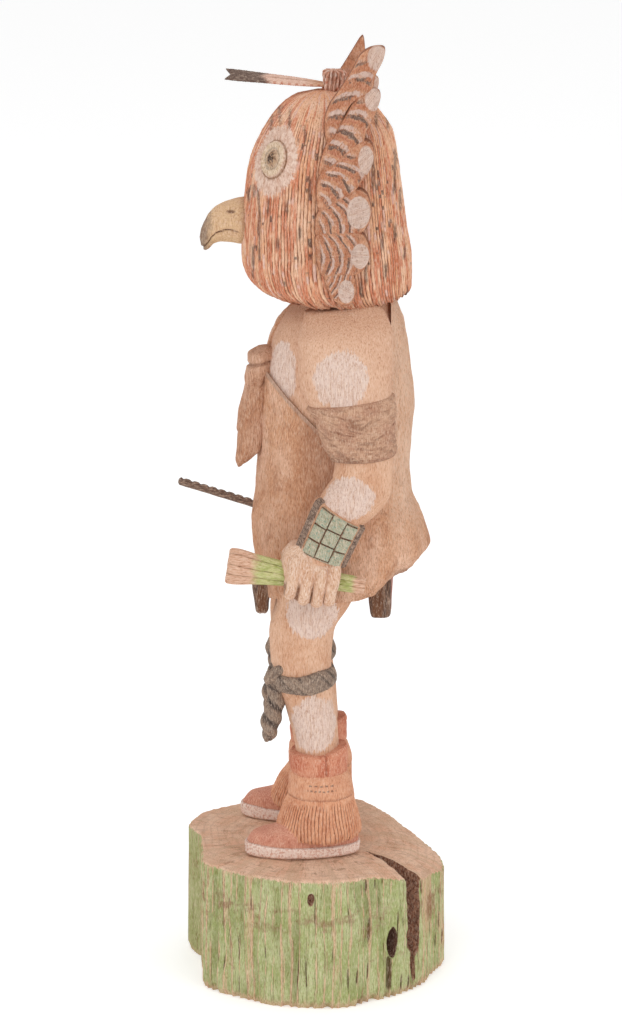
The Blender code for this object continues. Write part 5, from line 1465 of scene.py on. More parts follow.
def make_stick():
    along = np.linspace(0.0, 1.0, 300)
    turn = turns(26)
    middle = np.array([-GRIP_MIDDLE[0], GRIP_MIDDLE[1] + 1.6, GRIP_MIDDLE[2] + 1.4])
    run = np.array([0.0, -math.cos(STICK_SLOPE), math.sin(STICK_SLOPE)])
    rise = np.array([0.0, math.sin(STICK_SLOPE), math.cos(STICK_SLOPE)])
    beat = 0.5 - 0.5 * np.cos(along * STICK_NOTCHES * 2.0 * math.pi)[:, None]
    top = np.clip(np.sin(turn), 0.0, 1.0)[None, :]
    end = np.sqrt(np.clip(np.minimum(along, 1.0 - along) / 0.008, 0.25, 1.0))[:, None]
    reach = STICK_RADIUS * end * (1.0 - 0.30 * beat ** 3 * top)
    spots = middle + (STICK_AHEAD - along)[:, None, None] * STICK_LENGTH * run
    rings = (
        spots + (reach * np.cos(turn))[..., None] * np.array([1.0, 0.0, 0.0])
        + (reach * np.sin(turn))[..., None] * rise
    )
    rings = carve(rings, 0.07 * lumps(rings, (0.8, 2.6, 0.8), 121) - 0.05)
    stick = loft("notched_stick", rings, {"cut": beat ** 3 * top})
    finish = Finish("stick_stain", 0.8)
    grain = finish.noise((0.5, 2.6, 0.7), 3.0, 0.6)
    colour = finish.mix(grain.ramp(0.35, 0.68), paint(98, 78, 68), paint(158, 132, 116))
    # painted shade: darker in the notches
    colour = finish.mix(finish.mark("cut") * 0.6, colour, paint(74, 54, 46))
    finished(stick, "hand_stick", finish.wear(colour, grain, 0.2, PORE_ALONG))


# Leg: height, middle back, half width, half depth
LEG = (
    (60.0, 1.8, 7.8, 8.0),
    (84.0, 0.9, 8.2, 7.5),
    (98.0, -1.0, 8.8, 8.5),
    (106.0, -3.0, 9.2, 9.5),
    (115.0, -4.6, 9.8, 10.3),
    (126.0, -4.4, 10.8, 11.1),
    (139.0, 0.2, 11.0, 13.2),
    (152.0, 1.2, 11.0, 13.8),
)
LEG_SPACING = 15.2
KNEE_TIE = (105.8, 112.8)
KNEE_TIE_PROUD = 1.7
KNEE_TASSEL = (
    (86.8, -17.0, -15.2, 1.0),
    (89.6, -18.0, -13.0, 2.6),
    (94.0, -18.4, -11.8, 3.2),
    (99.0, -17.4, -10.6, 3.0),
    (103.6, -16.2, -10.2, 2.6),
    (107.0, -16.4, -9.6, 3.6),
    (112.4, -16.2, -9.0, 4.0),
    (116.6, -14.0, -10.0, 2.2),
)
CUFF = (
    (75.8, -8.0, 10.8, 9.2),
    (77.2, -8.5, 11.4, 9.7),
    (82.4, -8.7, 11.4, 9.5),
    (83.6, -8.0, 10.6, 8.8),
)
ANKLE_BAND = (
    (67.4, -8.8, 13.0, 10.2),
    (69.0, -9.3, 13.4, 10.6),
    (75.6, -8.7, 11.7, 9.7),
    (76.6, -8.0, 10.9, 9.2),
)
FRINGE = (
    (53.0, -13.0, 16.0, 12.4),
    (54.6, -13.5, 16.4, 12.6),
    (61.0, -12.0, 15.2, 11.6),
    (67.8, -9.2, 13.2, 10.4),
)
FRINGE_CUTS = 68
MOCCASIN = (
    (47.0, -23.0, 14.6, 8.0),
    (47.9, -24.3, 15.6, 8.8),
    (50.6, -24.4, 15.8, 8.8),
    (51.3, -23.6, 15.4, 8.2),
    (54.2, -21.2, 15.2, 8.0),
    (56.6, -14.0, 14.6, 7.6),
    (61.6, -7.4, 13.6, 7.2),
)
FOOT_SPACING = 16.0
# The right foot stands this far ahead; the lead fades out between these heights
FAR_FOOT_LEAD = 2.2
LEAD_HEIGHTS = (68.0, 58.0)
# Both moccasins are turned outwards about the heel, which lies at this Y
TOE_OUT = math.radians(8.0)
HEEL = 14.0


def led_forward(table, side):
    """A table of the feet; on the right its low rows lie a little further forward."""
    rows = []
    for z, front, back, half in table:
        lead = FAR_FOOT_LEAD * float(ramp(*LEAD_HEIGHTS, z)) if side < 0 else 0.0
        rows.append((z, front - lead, back - lead, half))
    return rows


def make_leg(name, side, finish):
    table = [(z, y - half_y, y + half_y, half_x) for z, y, half_x, half_y in LEG]
    heights = np.linspace(LEG[0][0], LEG[-1][0], 100)
    rings = stack_rings(table, heights, turns(84), x=side * LEG_SPACING)
    relief = 0.2 * lumps(rings, (6.0, 6.0, 10.0), 131) + 0.06 * lumps(rings, (0.8, 0.8, 2.6), 132)
    shin = ramp(104.0, 96.0, heights) * ramp(84.0, 90.0, heights)
    turn = turns(84)
    relief = relief + 0.35 * shin[:, None] * np.exp(-((turn - 4.7) / 0.35) ** 2)[None, :]
    finished(loft("%s_leg" % name, carve(rings, relief)), "figure", finish)


def make_knee_tie(name, side, finish):
    """A twisted dark tie below the knee, knotted in front with one hanging end."""
    low, high = KNEE_TIE
    middle_z, half_z = (low + high) / 2, (high - low) / 2
    turn = turns(200)
    section = np.linspace(0.0, math.pi, 24)
    rise = half_z * -np.cos(section)
    proud = -0.5 + (KNEE_TIE_PROUD + 0.5) * np.sin(section) ** 0.6
    rows = [(z, y, half_x, half_y) for z, y, half_x, half_y in LEG]
    lift = 1.6 * ramp(-0.2, 0.9, np.sin(turn)) - 0.3
    rings = []
    for up, out in zip(rise, proud):
        z = middle_z + up * (1.0 + 0.08 * np.sin(turn * 3.0)) + lift
        y, half_x, half_y = smooth_rows(rows, z)
        px = side * LEG_SPACING + (half_x + out) * np.cos(turn)
        rings.append(np.stack([px, y + (half_y + out) * np.sin(turn), z], axis=-1))
    rings = np.array(rings)
    around = turn[None, :] * 9.6 + 0.0 * rings[..., 0]
    slant = np.stack([around + rings[..., 2] * 0.8, rings[..., 2] * 0.35 - around * 0.1, 0.0 * around], axis=-1)
    twist = 0.7 * lumps(slant, (1.5, 2.6, 1.0), 141) + 0.6 * lumps(slant, (0.55, 2.6, 1.0), 142)
    # cut marks the sunk parts of the twist, where painted shade goes
    marks = {"cut": ramp(0.1, -0.8, twist), "pale": ramp(0.2, 0.9, twist)}
    tie = loft("%s_knee_tie" % name, carve(rings, 0.24 * twist), marks)
    finished(tie, "figure", finish)
    heights = np.linspace(KNEE_TASSEL[0][0], KNEE_TASSEL[-1][0], 100)
    turn = turns(60)
    rings = stack_rings(KNEE_TASSEL, heights, turn, x=side * (LEG_SPACING + 1.4))
    twine = np.sin(turn[None, :] * 2.0 + heights[:, None] * 1.05)
    fibre = lumps(np.stack([
        turn[None, :] * 3.0 + heights[:, None] * 0.9, heights[:, None] * 0.5 + 0.0 * turn, 0.0 * twine,
    ], axis=-1), (0.55, 2.2, 1.0), 143)
    relief = 0.34 * twine * ramp(108.0, 101.0, heights)[:, None] + 0.16 * fibre
    marks = {"cut": ramp(0.1, -0.8, twine * 0.6 + fibre * 0.5), "pale": ramp(0.1, 0.8, fibre)}
    tassel = loft("%s_knee_tassel" % name, carve(rings, relief), marks)
    finished(tassel, "figure", finish)
    middles = np.array([
        (17.0, -15.2, 107.0), (18.4, -15.8, 109.6), (20.4, -14.2, 112.0), (21.4, -11.4, 114.4),
        (20.0, -9.4, 116.6),
    ])
    along = np.linspace(0.0, 4.0, 50)
    path = np.stack([np.interp(along, range(5), column) for column in middles.T], axis=-1)
    path[:, 0] = side * (path[:, 0] - 15.2 + LEG_SPACING)
    size = 2.0 * np.sqrt(np.clip(np.sin(math.pi * (along + 0.35) / 4.7), 0.06, 1.0))
    rings = rod_rings(path, size, turns(40))
    fibre = lumps(rings, (0.8, 0.8, 2.4), 145)
    marks = {"cut": ramp(0.1, -0.8, fibre), "pale": ramp(0.2, 0.9, fibre)}
    strand = loft("%s_knee_knot" % name, carve(rings, 0.16 * fibre), marks)
    finished(strand, "figure", finish)


def tie_finish():
    finish = Finish("tie_paint", 0.88)
    cut, pale = finish.mark("cut"), finish.mark("pale")
    fleck = finish.noise((0.5, 0.5, 0.8), 3.0, 0.65)
    colour = finish.mix(fleck.ramp(0.35, 0.68), paint(126, 108, 96), paint(162, 140, 122))
    colour = finish.mix(pale * 0.5, colour, paint(206, 176, 150))
    # painted shade: near black in the twist's grooves
    colour = finish.mix(cut * 0.9, colour, paint(62, 52, 50))
    return finish.wear(colour, fleck, 0.25)


def make_cuff(name, side, finish):
    heights = np.linspace(CUFF[0][0], CUFF[-1][0], 44)
    turn = turns(140)
    rings = stack_rings(CUFF, heights, turn, x=side * FOOT_SPACING)
    slit_at = 0.28 if side > 0 else math.pi - 0.28
    gap = np.exp(-((turn - slit_at) / 0.035) ** 2)[None, :] * ramp(75.8, 77.0, heights)[:, None]
    fold = np.exp(-((heights - 82.2) / 0.45) ** 2)[:, None]
    back = ramp(0.2, 1.0, np.sin(turn))[None, :]
    top = ramp(80.0, 83.6, heights)[:, None]
    rings[..., 2] += 1.9 * back * top + 0.3 * lumps(rings, (4.0, 4.0, 4.0), 151) * top
    relief = -0.7 * gap - 0.22 * fold + 0.18 * lumps(rings, (2.5, 2.5, 2.5), 152)
    relief = relief + 0.45 * back * top
    marks = {"cut": np.clip(gap + fold * 0.35, 0.0, 1.0), "low": ramp(78.0, 76.0, heights)[:, None]}
    cuff = loft("%s_cuff" % name, carve(rings, relief), marks)
    finished(cuff, "figure", finish)


def make_ankle_fringe(name, side, finish):
    heights = np.linspace(ANKLE_BAND[0][0], ANKLE_BAND[-1][0], 36)
    turn = turns(160)
    rings = stack_rings(ANKLE_BAND, heights, turn, x=side * FOOT_SPACING)
    relief = 0.2 * lumps(rings, (3.0, 3.0, 2.4), 161) + 0.07 * lumps(rings, (0.7, 0.7, 2.0), 162)
    rim = ramp(70.0, 68.0, heights)[:, None]
    marks = {"cut": 0.5 * rim + 0.0 * relief, "band": 1.0 + 0.0 * relief}
    band = loft("%s_ankle_band" % name, carve(rings, relief), marks)
    finished(band, "figure", finish)
    heights = np.linspace(FRINGE[0][0], FRINGE[-1][0], 46)
    turn = turns(FRINGE_CUTS * 7)
    rings = stack_rings(led_forward(FRINGE, side), heights, turn, x=side * FOOT_SPACING)
    low = ramp(62.0, 53.0, heights)[:, None]
    rings[..., 2] += low * (1.0 * np.sin(turn)[None, :] ** 2 - 0.5)
    place = (turn / (2.0 * math.pi) * FRINGE_CUTS)[None, :] + 0.35 * lumps(rings, (4.0, 4.0, 7.0), 163)
    strand = np.floor(place).astype(int) % FRINGE_CUTS
    within = place - np.floor(place)
    ridge = np.sin(math.pi * within) ** 0.6
    length = 0.8 * numbers(17, FRINGE_CUTS)[strand]
    rings[..., 2] += ramp(56.0, 53.0, heights)[:, None] * length
    reach = 67.2 + 1.8 * numbers(19, FRINGE_CUTS)[strand]
    depth = 0.62 * (0.45 + 0.7 * numbers(18, FRINGE_CUTS)[strand]) * ramp(reach, reach - 3.5, heights[:, None])
    cut = (1.0 - ridge) * ramp(0.08, 0.42, depth)
    relief = -depth * (1.0 - ridge) + 0.12 * lumps(rings, (1.0, 1.0, 4.0), 164)
    fringe = loft("%s_fringe" % name, carve(rings, relief), {"cut": cut, "band": 0.0 * cut})
    finished(fringe, "figure", finish, sharp=75.0)


def fringe_finish():
    finish = Finish("fringe_wash", 0.88)
    cut, band = finish.mark("cut"), finish.mark("band")
    strokes = finish.noise((0.5, 0.5, 2.6), 3.0, 0.6)
    drift = finish.noise((4.0, 4.0, 6.0), 2.0, shift=3.0)
    colour = finish.mix(drift.ramp(0.35, 0.65), paint(215, 150, 115), paint(228, 168, 132))
    colour = finish.mix(strokes.ramp(0.5, 0.72) * 0.4, colour, paint(195, 120, 91))
    colour = finish.mix(band * 0.35, colour, paint(211, 154, 123))
    # painted shade: dark brown in the cuts between the strands
    colour = finish.mix(cut.ramp(0.2, 0.9) * 0.85, colour, paint(129, 74, 52))
    y, z = finish.axis("Y"), finish.axis("Z")
    pencil = None
    for row, height in enumerate((73.4, 71.6)):
        on_row = abs(z - height - (strokes - 0.5) * 1.2).ramp(0.34, 0.16)
        along_row = y.ramp(-2.8, -2.0) * y.ramp(7.6, 6.8)
        gaps = finish.node("ShaderNodeMath", {"operation": "SINE"}, {0: y * (3.4 + row)})
        one = on_row * along_row * gaps.ramp(-0.5, 0.2)
        pencil = one if pencil is None else pencil + one
    colour = finish.mix(pencil * band * finish.axis("X").ramp(18.0, 20.0) * 0.7, colour, SOOT)
    return finish.wear(colour, strokes + finish.noise((0.4, 0.4, 0.4), 2.0) * 0.4, 0.2)


def make_moccasin(name, side, finish):
    heights = np.concatenate([[47.0, 47.2, 47.5], np.linspace(47.9, 61.6, 50)])
    turn = turns(130)
    table = led_forward(MOCCASIN, side)
    rings = stack_rings(table, heights, turn, x=side * FOOT_SPACING, squareness=2.4)
    toe = ramp(-2.0, -24.0, rings[..., 1])
    middle_x = side * (FOOT_SPACING - 0.8 * toe)
    rings[..., 0] = middle_x + (rings[..., 0] - side * FOOT_SPACING) * (1.0 - 0.10 * toe ** 2)
    rings[..., 2] += 0.9 * toe ** 3 * ramp(47.2, 50.0, heights)[:, None]
    seam_z = 51.1 + 0.9 * toe ** 3
    seam = np.exp(-((rings[..., 2] - seam_z) / 0.32) ** 2)
    relief = -0.28 * seam + 0.14 * lumps(rings, (3.0, 3.0, 3.0), 171)
    relief[:2] = 0.0
    marks = {"sole": ramp(0.35, -0.15, rings[..., 2] - seam_z), "cut": seam}
    rings = carve(rings, relief)
    cosine, sine = math.cos(side * TOE_OUT), math.sin(side * TOE_OUT)
    out_x, back_y = rings[..., 0] - side * FOOT_SPACING, rings[..., 1] - HEEL
    rings[..., 0] = side * FOOT_SPACING + cosine * out_x - sine * back_y
    rings[..., 1] = HEEL + sine * out_x + cosine * back_y
    shoe = loft("%s_moccasin" % name, rings, marks)
    finished(shoe, "figure", finish)


def red_finish():
    """Red ochre on moccasins and cuffs, with chalk white soles."""
    finish = Finish("red_ochre", 0.86)
    sole, cut = finish.mark("sole"), finish.mark("cut")
    fleck = finish.noise((0.8, 0.8, 0.8), 3.0, 0.62)
    drift = finish.noise((4.5, 4.5, 4.5), 3.0, shift=3.0)
    colour = finish.mix(drift.ramp(0.35, 0.65), paint(194, 112, 84), paint(212, 142, 112))
    colour = finish.mix(fleck.ramp(0.52, 0.68) * 0.5, colour, paint(226, 172, 144))
    colour = finish.mix(finish.mark("low") * 0.4, colour, paint(196, 128, 100))
    white = finish.mix(fleck.ramp(0.45, 0.65), paint(246, 226, 214), paint(220, 172, 152))
    shoe = finish.axis("Z").ramp(66.0, 62.0)
    colour = finish.mix(shoe * 0.45, colour, paint(214, 158, 138))
    colour = finish.mix((sole + (drift - 0.5) * 0.5).ramp(0.35, 0.65) * 0.96, colour, white)
    # painted shade: brown in the moccasin's seam and the cuff's slit and fold
    colour = finish.mix(cut.ramp(0.35, 1.0) * 0.45, colour, paint(140, 82, 62))
    return finish.wear(colour, fleck, 0.2)


# Root base. Outline: bearing from the doll's left towards its back, share of the half width
BASE_WIDTH = 93.0
BASE_DEPTH = 90.0
BASE_TOP = 46.7
BASE_FOOT = 0.985
BASE_OUTLINE = (
    (0, 1.054), (14, 1.060), (27, 1.004), (38, 1.014), (46, 1.006), (55, 1.000), (66, 0.966),
    (80, 0.990), (92, 0.976), (108, 0.892), (127, 0.836), (147, 0.866), (166, 0.884), (187, 0.866),
    (208, 0.896), (226, 0.948), (241, 1.012), (255, 1.003), (264, 0.928), (272, 0.870),
    (284, 0.882), (296, 0.938), (307, 1.036), (320, 1.024), (334, 1.024), (347, 1.044),
)
LEVEL_SHARE = 0.72
RIM_DROP = 10.5
RIM_FALL_START = 0.37
RIM_FALL_CURVE = 1.35
BASE_GROOVES = 106
BASE_POINTS_A_GROOVE = 8
RIM_ROUND = 1.5
# Crack: share of the height, where it starts from the middle, share of its full width
CRACK = (
    (0.06, 0.97, 0.08), (0.14, 0.93, 0.18), (0.32, 0.86, 0.52), (0.47, 0.80, 0.72),
    (0.66, 0.70, 0.72), (0.84, 0.55, 0.90), (1.10, 0.34, 1.16),
)
CRACK_BEARING = math.radians(45.5)
CRACK_WIDTH = 10.5
CRACK_MOUTH = 1.3
CRACK_SHIFT = 2.6
WORM_HOLE = (math.radians(35.0), 0.44, (7.0, 2.1, 5.6))
PIT = (math.radians(-1.5), 0.86, (2.0, 1.2, 2.25))


def outline_share(bearing):
    degrees = np.degrees(bearing) % 360.0
    rows = [(angle + lap, share) for lap in (-360, 0, 360) for angle, share in BASE_OUTLINE]
    return smooth_rows(rows, degrees)[0]


def base_top(y):
    """Height of the top's edge: level under the feet, dropping towards the doll's back."""
    flat_to = RIM_FALL_START * BASE_WIDTH / 2
    share = np.clip((y - flat_to) / (BASE_WIDTH / 2 - flat_to), 0.0, 1.2)
    return BASE_TOP - RIM_DROP * share ** RIM_FALL_CURVE


def top_surface(x, y):
    """Height of the base's top over a place: domed in the middle, following the rim outside."""
    reach = np.hypot(x / BASE_DEPTH * 2, y / BASE_WIDTH * 2)
    share = reach / outline_share(np.arctan2(y / BASE_WIDTH, x / BASE_DEPTH))
    edge_y = y / np.maximum(share, 1e-6)
    dome = (BASE_TOP - base_top(edge_y * LEVEL_SHARE)) * (share / LEVEL_SHARE) ** 1.6
    return np.where(share < LEVEL_SHARE, BASE_TOP - dome, base_top(y))


def make_base():
    turn = turns(BASE_GROOVES * BASE_POINTS_A_GROOVE)
    degrees = np.degrees(turn)
    outline = outline_share(turn)
    edge_x, edge_y = outline * np.cos(turn) * BASE_DEPTH / 2, outline * np.sin(turn) * BASE_WIDTH / 2
    top_z = base_top(edge_y)
    up = np.concatenate([[0.0, 0.02], np.linspace(0.045, 0.965, 34)])
    side_rows = []
    for share in up:
        out = blend(BASE_FOOT, 1.0, ramp(0.0, 0.05, share))
        side_rows.append(np.stack([edge_x * out, edge_y * out, top_z * share], axis=-1))
    rim_rows = []
    for turn_in in np.linspace(0.0, math.pi / 2, 6)[1:]:
        inset = RIM_ROUND * (1.0 - math.cos(turn_in)) / (BASE_WIDTH / 2)
        rise = 0.965 + 0.035 * math.sin(turn_in)
        rim_rows.append(np.stack([edge_x * (1 - inset), edge_y * (1 - inset), top_z * rise], axis=-1))
    top_rows = []
    for share in np.linspace(0.945, 0.03, 27):
        px, py = edge_x * share, edge_y * share
        top_rows.append(np.stack([px, py, top_surface(px, py)], axis=-1))
    rings = np.array(side_rows + rim_rows + top_rows)
    inward = np.concatenate([
        np.zeros(len(side_rows)), np.linspace(0.15, 1.0, len(rim_rows)), np.ones(len(top_rows)),
    ])[:, None]
    sway = lumps(rings, (16.0, 16.0, 44.0), 181) * 0.8 + lumps(rings, (3.4, 3.4, 13.0), 182) * 0.34
    place = (np.arange(turn.size) / BASE_POINTS_A_GROOVE)[None, :] + sway
    lane = np.floor(place).astype(int) % BASE_GROOVES
    within = place - np.floor(place)
    scoop = np.clip(np.sin(math.pi * within), 0.0, 1.0) ** (0.6 + 0.8 * numbers(31, BASE_GROOVES)[lane])
    lobe = ramp(222.0, 240.0, degrees) * ramp(284.0, 272.0, degrees)
    run = np.stack([lane * 3.1, 0.0 * within, rings[..., 2]], axis=-1)
    depth = 0.35 + 1.05 * numbers(32, BASE_GROOVES)[lane] ** 1.5
    depth = np.clip(depth * (0.8 + 0.6 * lumps(run, (1.0, 1.0, 12.0), 183)), 0.15, 1.7)
    depth = depth * (1.0 - 0.55 * lobe)[None, :] * (1.0 - ramp(0.3, 1.0, inward))
    slit = np.exp(-((within - 0.86) / 0.09) ** 2) * ramp(0.1, 0.5, lumps(run, (1.0, 1.0, 8.0), 189))
    slit = slit * (1.0 - inward) * (1.0 - 0.5 * lobe)[None, :]
    threads = lumps(rings, (0.75, 0.75, 11.0), 185)
    relief = -depth * scoop - 0.55 * slit + (0.45 * lumps(rings, (6.0, 6.0, 34.0), 184) + 0.15 * threads) * (1.0 - inward)
    radial = np.stack([
        turn[None, :] * 22.0 + 0.0 * sway, np.hypot(rings[..., 0], rings[..., 1]) * 0.5, 0.0 * sway,
    ], axis=-1)
    fibres = lumps(radial, (0.5, 3.2, 1.0), 186)
    relief = relief + inward * (0.2 * fibres + 0.3 * lumps(rings, (7.0, 7.0, 7.0), 187) - 0.1)
    feet = ramp(0.62, 0.50, np.hypot(rings[..., 0] / BASE_DEPTH * 2, rings[..., 1] / BASE_WIDTH * 2))
    relief = np.minimum(relief, blend(1.0, 0.05, feet * inward))
    line = degrees[None, :] - 33.6 + 0.0012 * (rings[..., 2] - 10.0) ** 2
    notch = np.exp(-(line / 1.3) ** 2) * ramp(17.0, 14.0, rings[..., 2]) * ramp(1.0, 5.0, rings[..., 2])
    relief = relief - 1.3 * notch
    tooth = ramp(0.45, 1.0, numbers(34, BASE_GROOVES)[lane]) * scoop
    relief[:4] -= tooth[:4] * np.array([2.0, 1.5, 0.7, 0.2])[:, None]
    height = rings[0, :, 2].copy()
    rings = carve(rings, relief)
    rings[0, :, 2] = height
    ridge = np.cos(2.0 * math.pi * within) * (1.0 - 0.8 * ramp(0.2, 0.9, inward))
    # cut marks the slits and the notch, where painted shade goes
    marks = {
        "ridge": ridge, "cut": np.clip(slit + notch, 0.0, 1.0), "top": inward,
        "deep": np.clip(depth * scoop / 1.3, 0.0, 1.0),
        "tone": numbers(33, BASE_GROOVES)[lane],
    }
    base = loft("root_base", rings, marks, tip=(0.0, 0.0, BASE_TOP), root=(0.0, 0.0, 0.0))
    root_wash, cut_face = base_finish(), bpy.data.materials.new("cut_face")
    base.data.materials.append(root_wash)
    for cutter in (crack_cutter(), hollow_cutter("worm_hole", *WORM_HOLE), hollow_cutter("pit", *PIT)):
        cut_away = base.modifiers.new(cutter.name, "BOOLEAN")
        cut_away.operation = "DIFFERENCE"
        cut_away.solver = "EXACT"
        cut_away.object = cutter
        cut_away.material_mode = "TRANSFER"
        cutter.data.materials.append(cut_face)
    settle(base)
    give_mark(base, "wall", cut_share(base.data))
    base.data.materials.clear()
    bpy.data.materials.remove(cut_face)
    for name in ("crack", "worm_hole", "pit"):
        bpy.data.objects.remove(bpy.data.objects[name], do_unlink=True)
    spots = mesh_points(base)
    below = top_surface(spots[:, 0], spots[:, 1]) - spots[:, 2]
    give_mark(base, "level", ramp(0.9, 0.3, below))
    give_mark(base, "below", below)
    return finished(base, "base", root_wash, sharp=62.0)


def cut_share(mesh):
    """For each point, the share of its faces that a cutter made; the faces' mark is taken off."""
    made = np.empty(len(mesh.polygons), dtype=np.int32)
    corners = np.empty(len(mesh.polygons), dtype=np.int32)
    points = np.empty(len(mesh.loops), dtype=np.int32)
    mesh.polygons.foreach_get("material_index", made)
    mesh.polygons.foreach_get("loop_total", corners)
    mesh.loops.foreach_get("vertex_index", points)
    mesh.polygons.foreach_set("material_index", np.zeros_like(made))
    total = np.bincount(points, minlength=len(mesh.vertices))
    cut = np.bincount(points, weights=np.repeat(made > 0, corners), minlength=len(mesh.vertices))
    return cut / np.maximum(total, 1)


def crack_cutter():
    """A ragged wedge, widening towards the rim and the top."""
    shares = np.linspace(CRACK[0][0], CRACK[-1][0], 60)
    start, width = smooth_rows(CRACK, shares)
    away = np.array([math.cos(CRACK_BEARING), math.sin(CRACK_BEARING), 0.0])
    across = np.array([-away[1], away[0], 0.0])
    layers = []
    for share, begin, wide in zip(shares, start, width):
        half = wide * CRACK_WIDTH / 2 * (CRACK_MOUTH - begin) / (1.0 - begin)
        root = away * BASE_WIDTH / 2 * begin + across * CRACK_SHIFT
        mouth = away * BASE_WIDTH / 2 * CRACK_MOUTH + across * CRACK_SHIFT
        sides = []
        for one, other in ((root, mouth - across * half), (mouth - across * half, mouth + across * half),
                           (mouth + across * half, root)):
            steps = np.linspace(0.0, 1.0, 44, endpoint=False)[:, None]
            sides.append(blend(one, other, steps))
        layer = np.concatenate(sides)
        layer[:, 2] = share * BASE_TOP
        layers.append(layer)
    rings = np.array(layers)
    from_root = np.linalg.norm(rings[..., :2] - rings[:, :1, :2], axis=-1)
    rough = 0.62 * lumps(rings, (2.6, 2.6, 3.4), 191) + 0.34 * lumps(rings, (0.9, 0.9, 1.3), 192)
    rings = carve(rings, rough * ramp(0.3, 5.0, from_root) - 0.05)
    return loft("crack", rings)


def hollow_cutter(name, bearing, level, size):
    """A rounded hollow in the base's side: half sizes inward, along the side and up."""
    reach = float(outline_share(np.array([bearing]))[0])
    middle = np.array([
        math.cos(bearing) * reach * BASE_DEPTH / 2, math.sin(bearing) * reach * BASE_WIDTH / 2,
        level * BASE_TOP,
    ])
    rise = np.linspace(-0.985, 0.985, 26)
    turn = turns(36)
    wide = np.sqrt(1.0 - rise ** 2)[:, None]
    local_x, local_y = size[0] * wide * np.cos(turn), size[1] * wide * np.sin(turn)
    cosine, sine = math.cos(bearing), math.sin(bearing)
    rings = np.stack([
        middle[0] + local_x * cosine - local_y * sine, middle[1] + local_x * sine + local_y * cosine,
        middle[2] + size[2] * rise[:, None] + 0.0 * local_x,
    ], axis=-1)
    return loft(name, carve(rings, 0.2 * lumps(rings, (1.2, 1.2, 2.0), 195)))


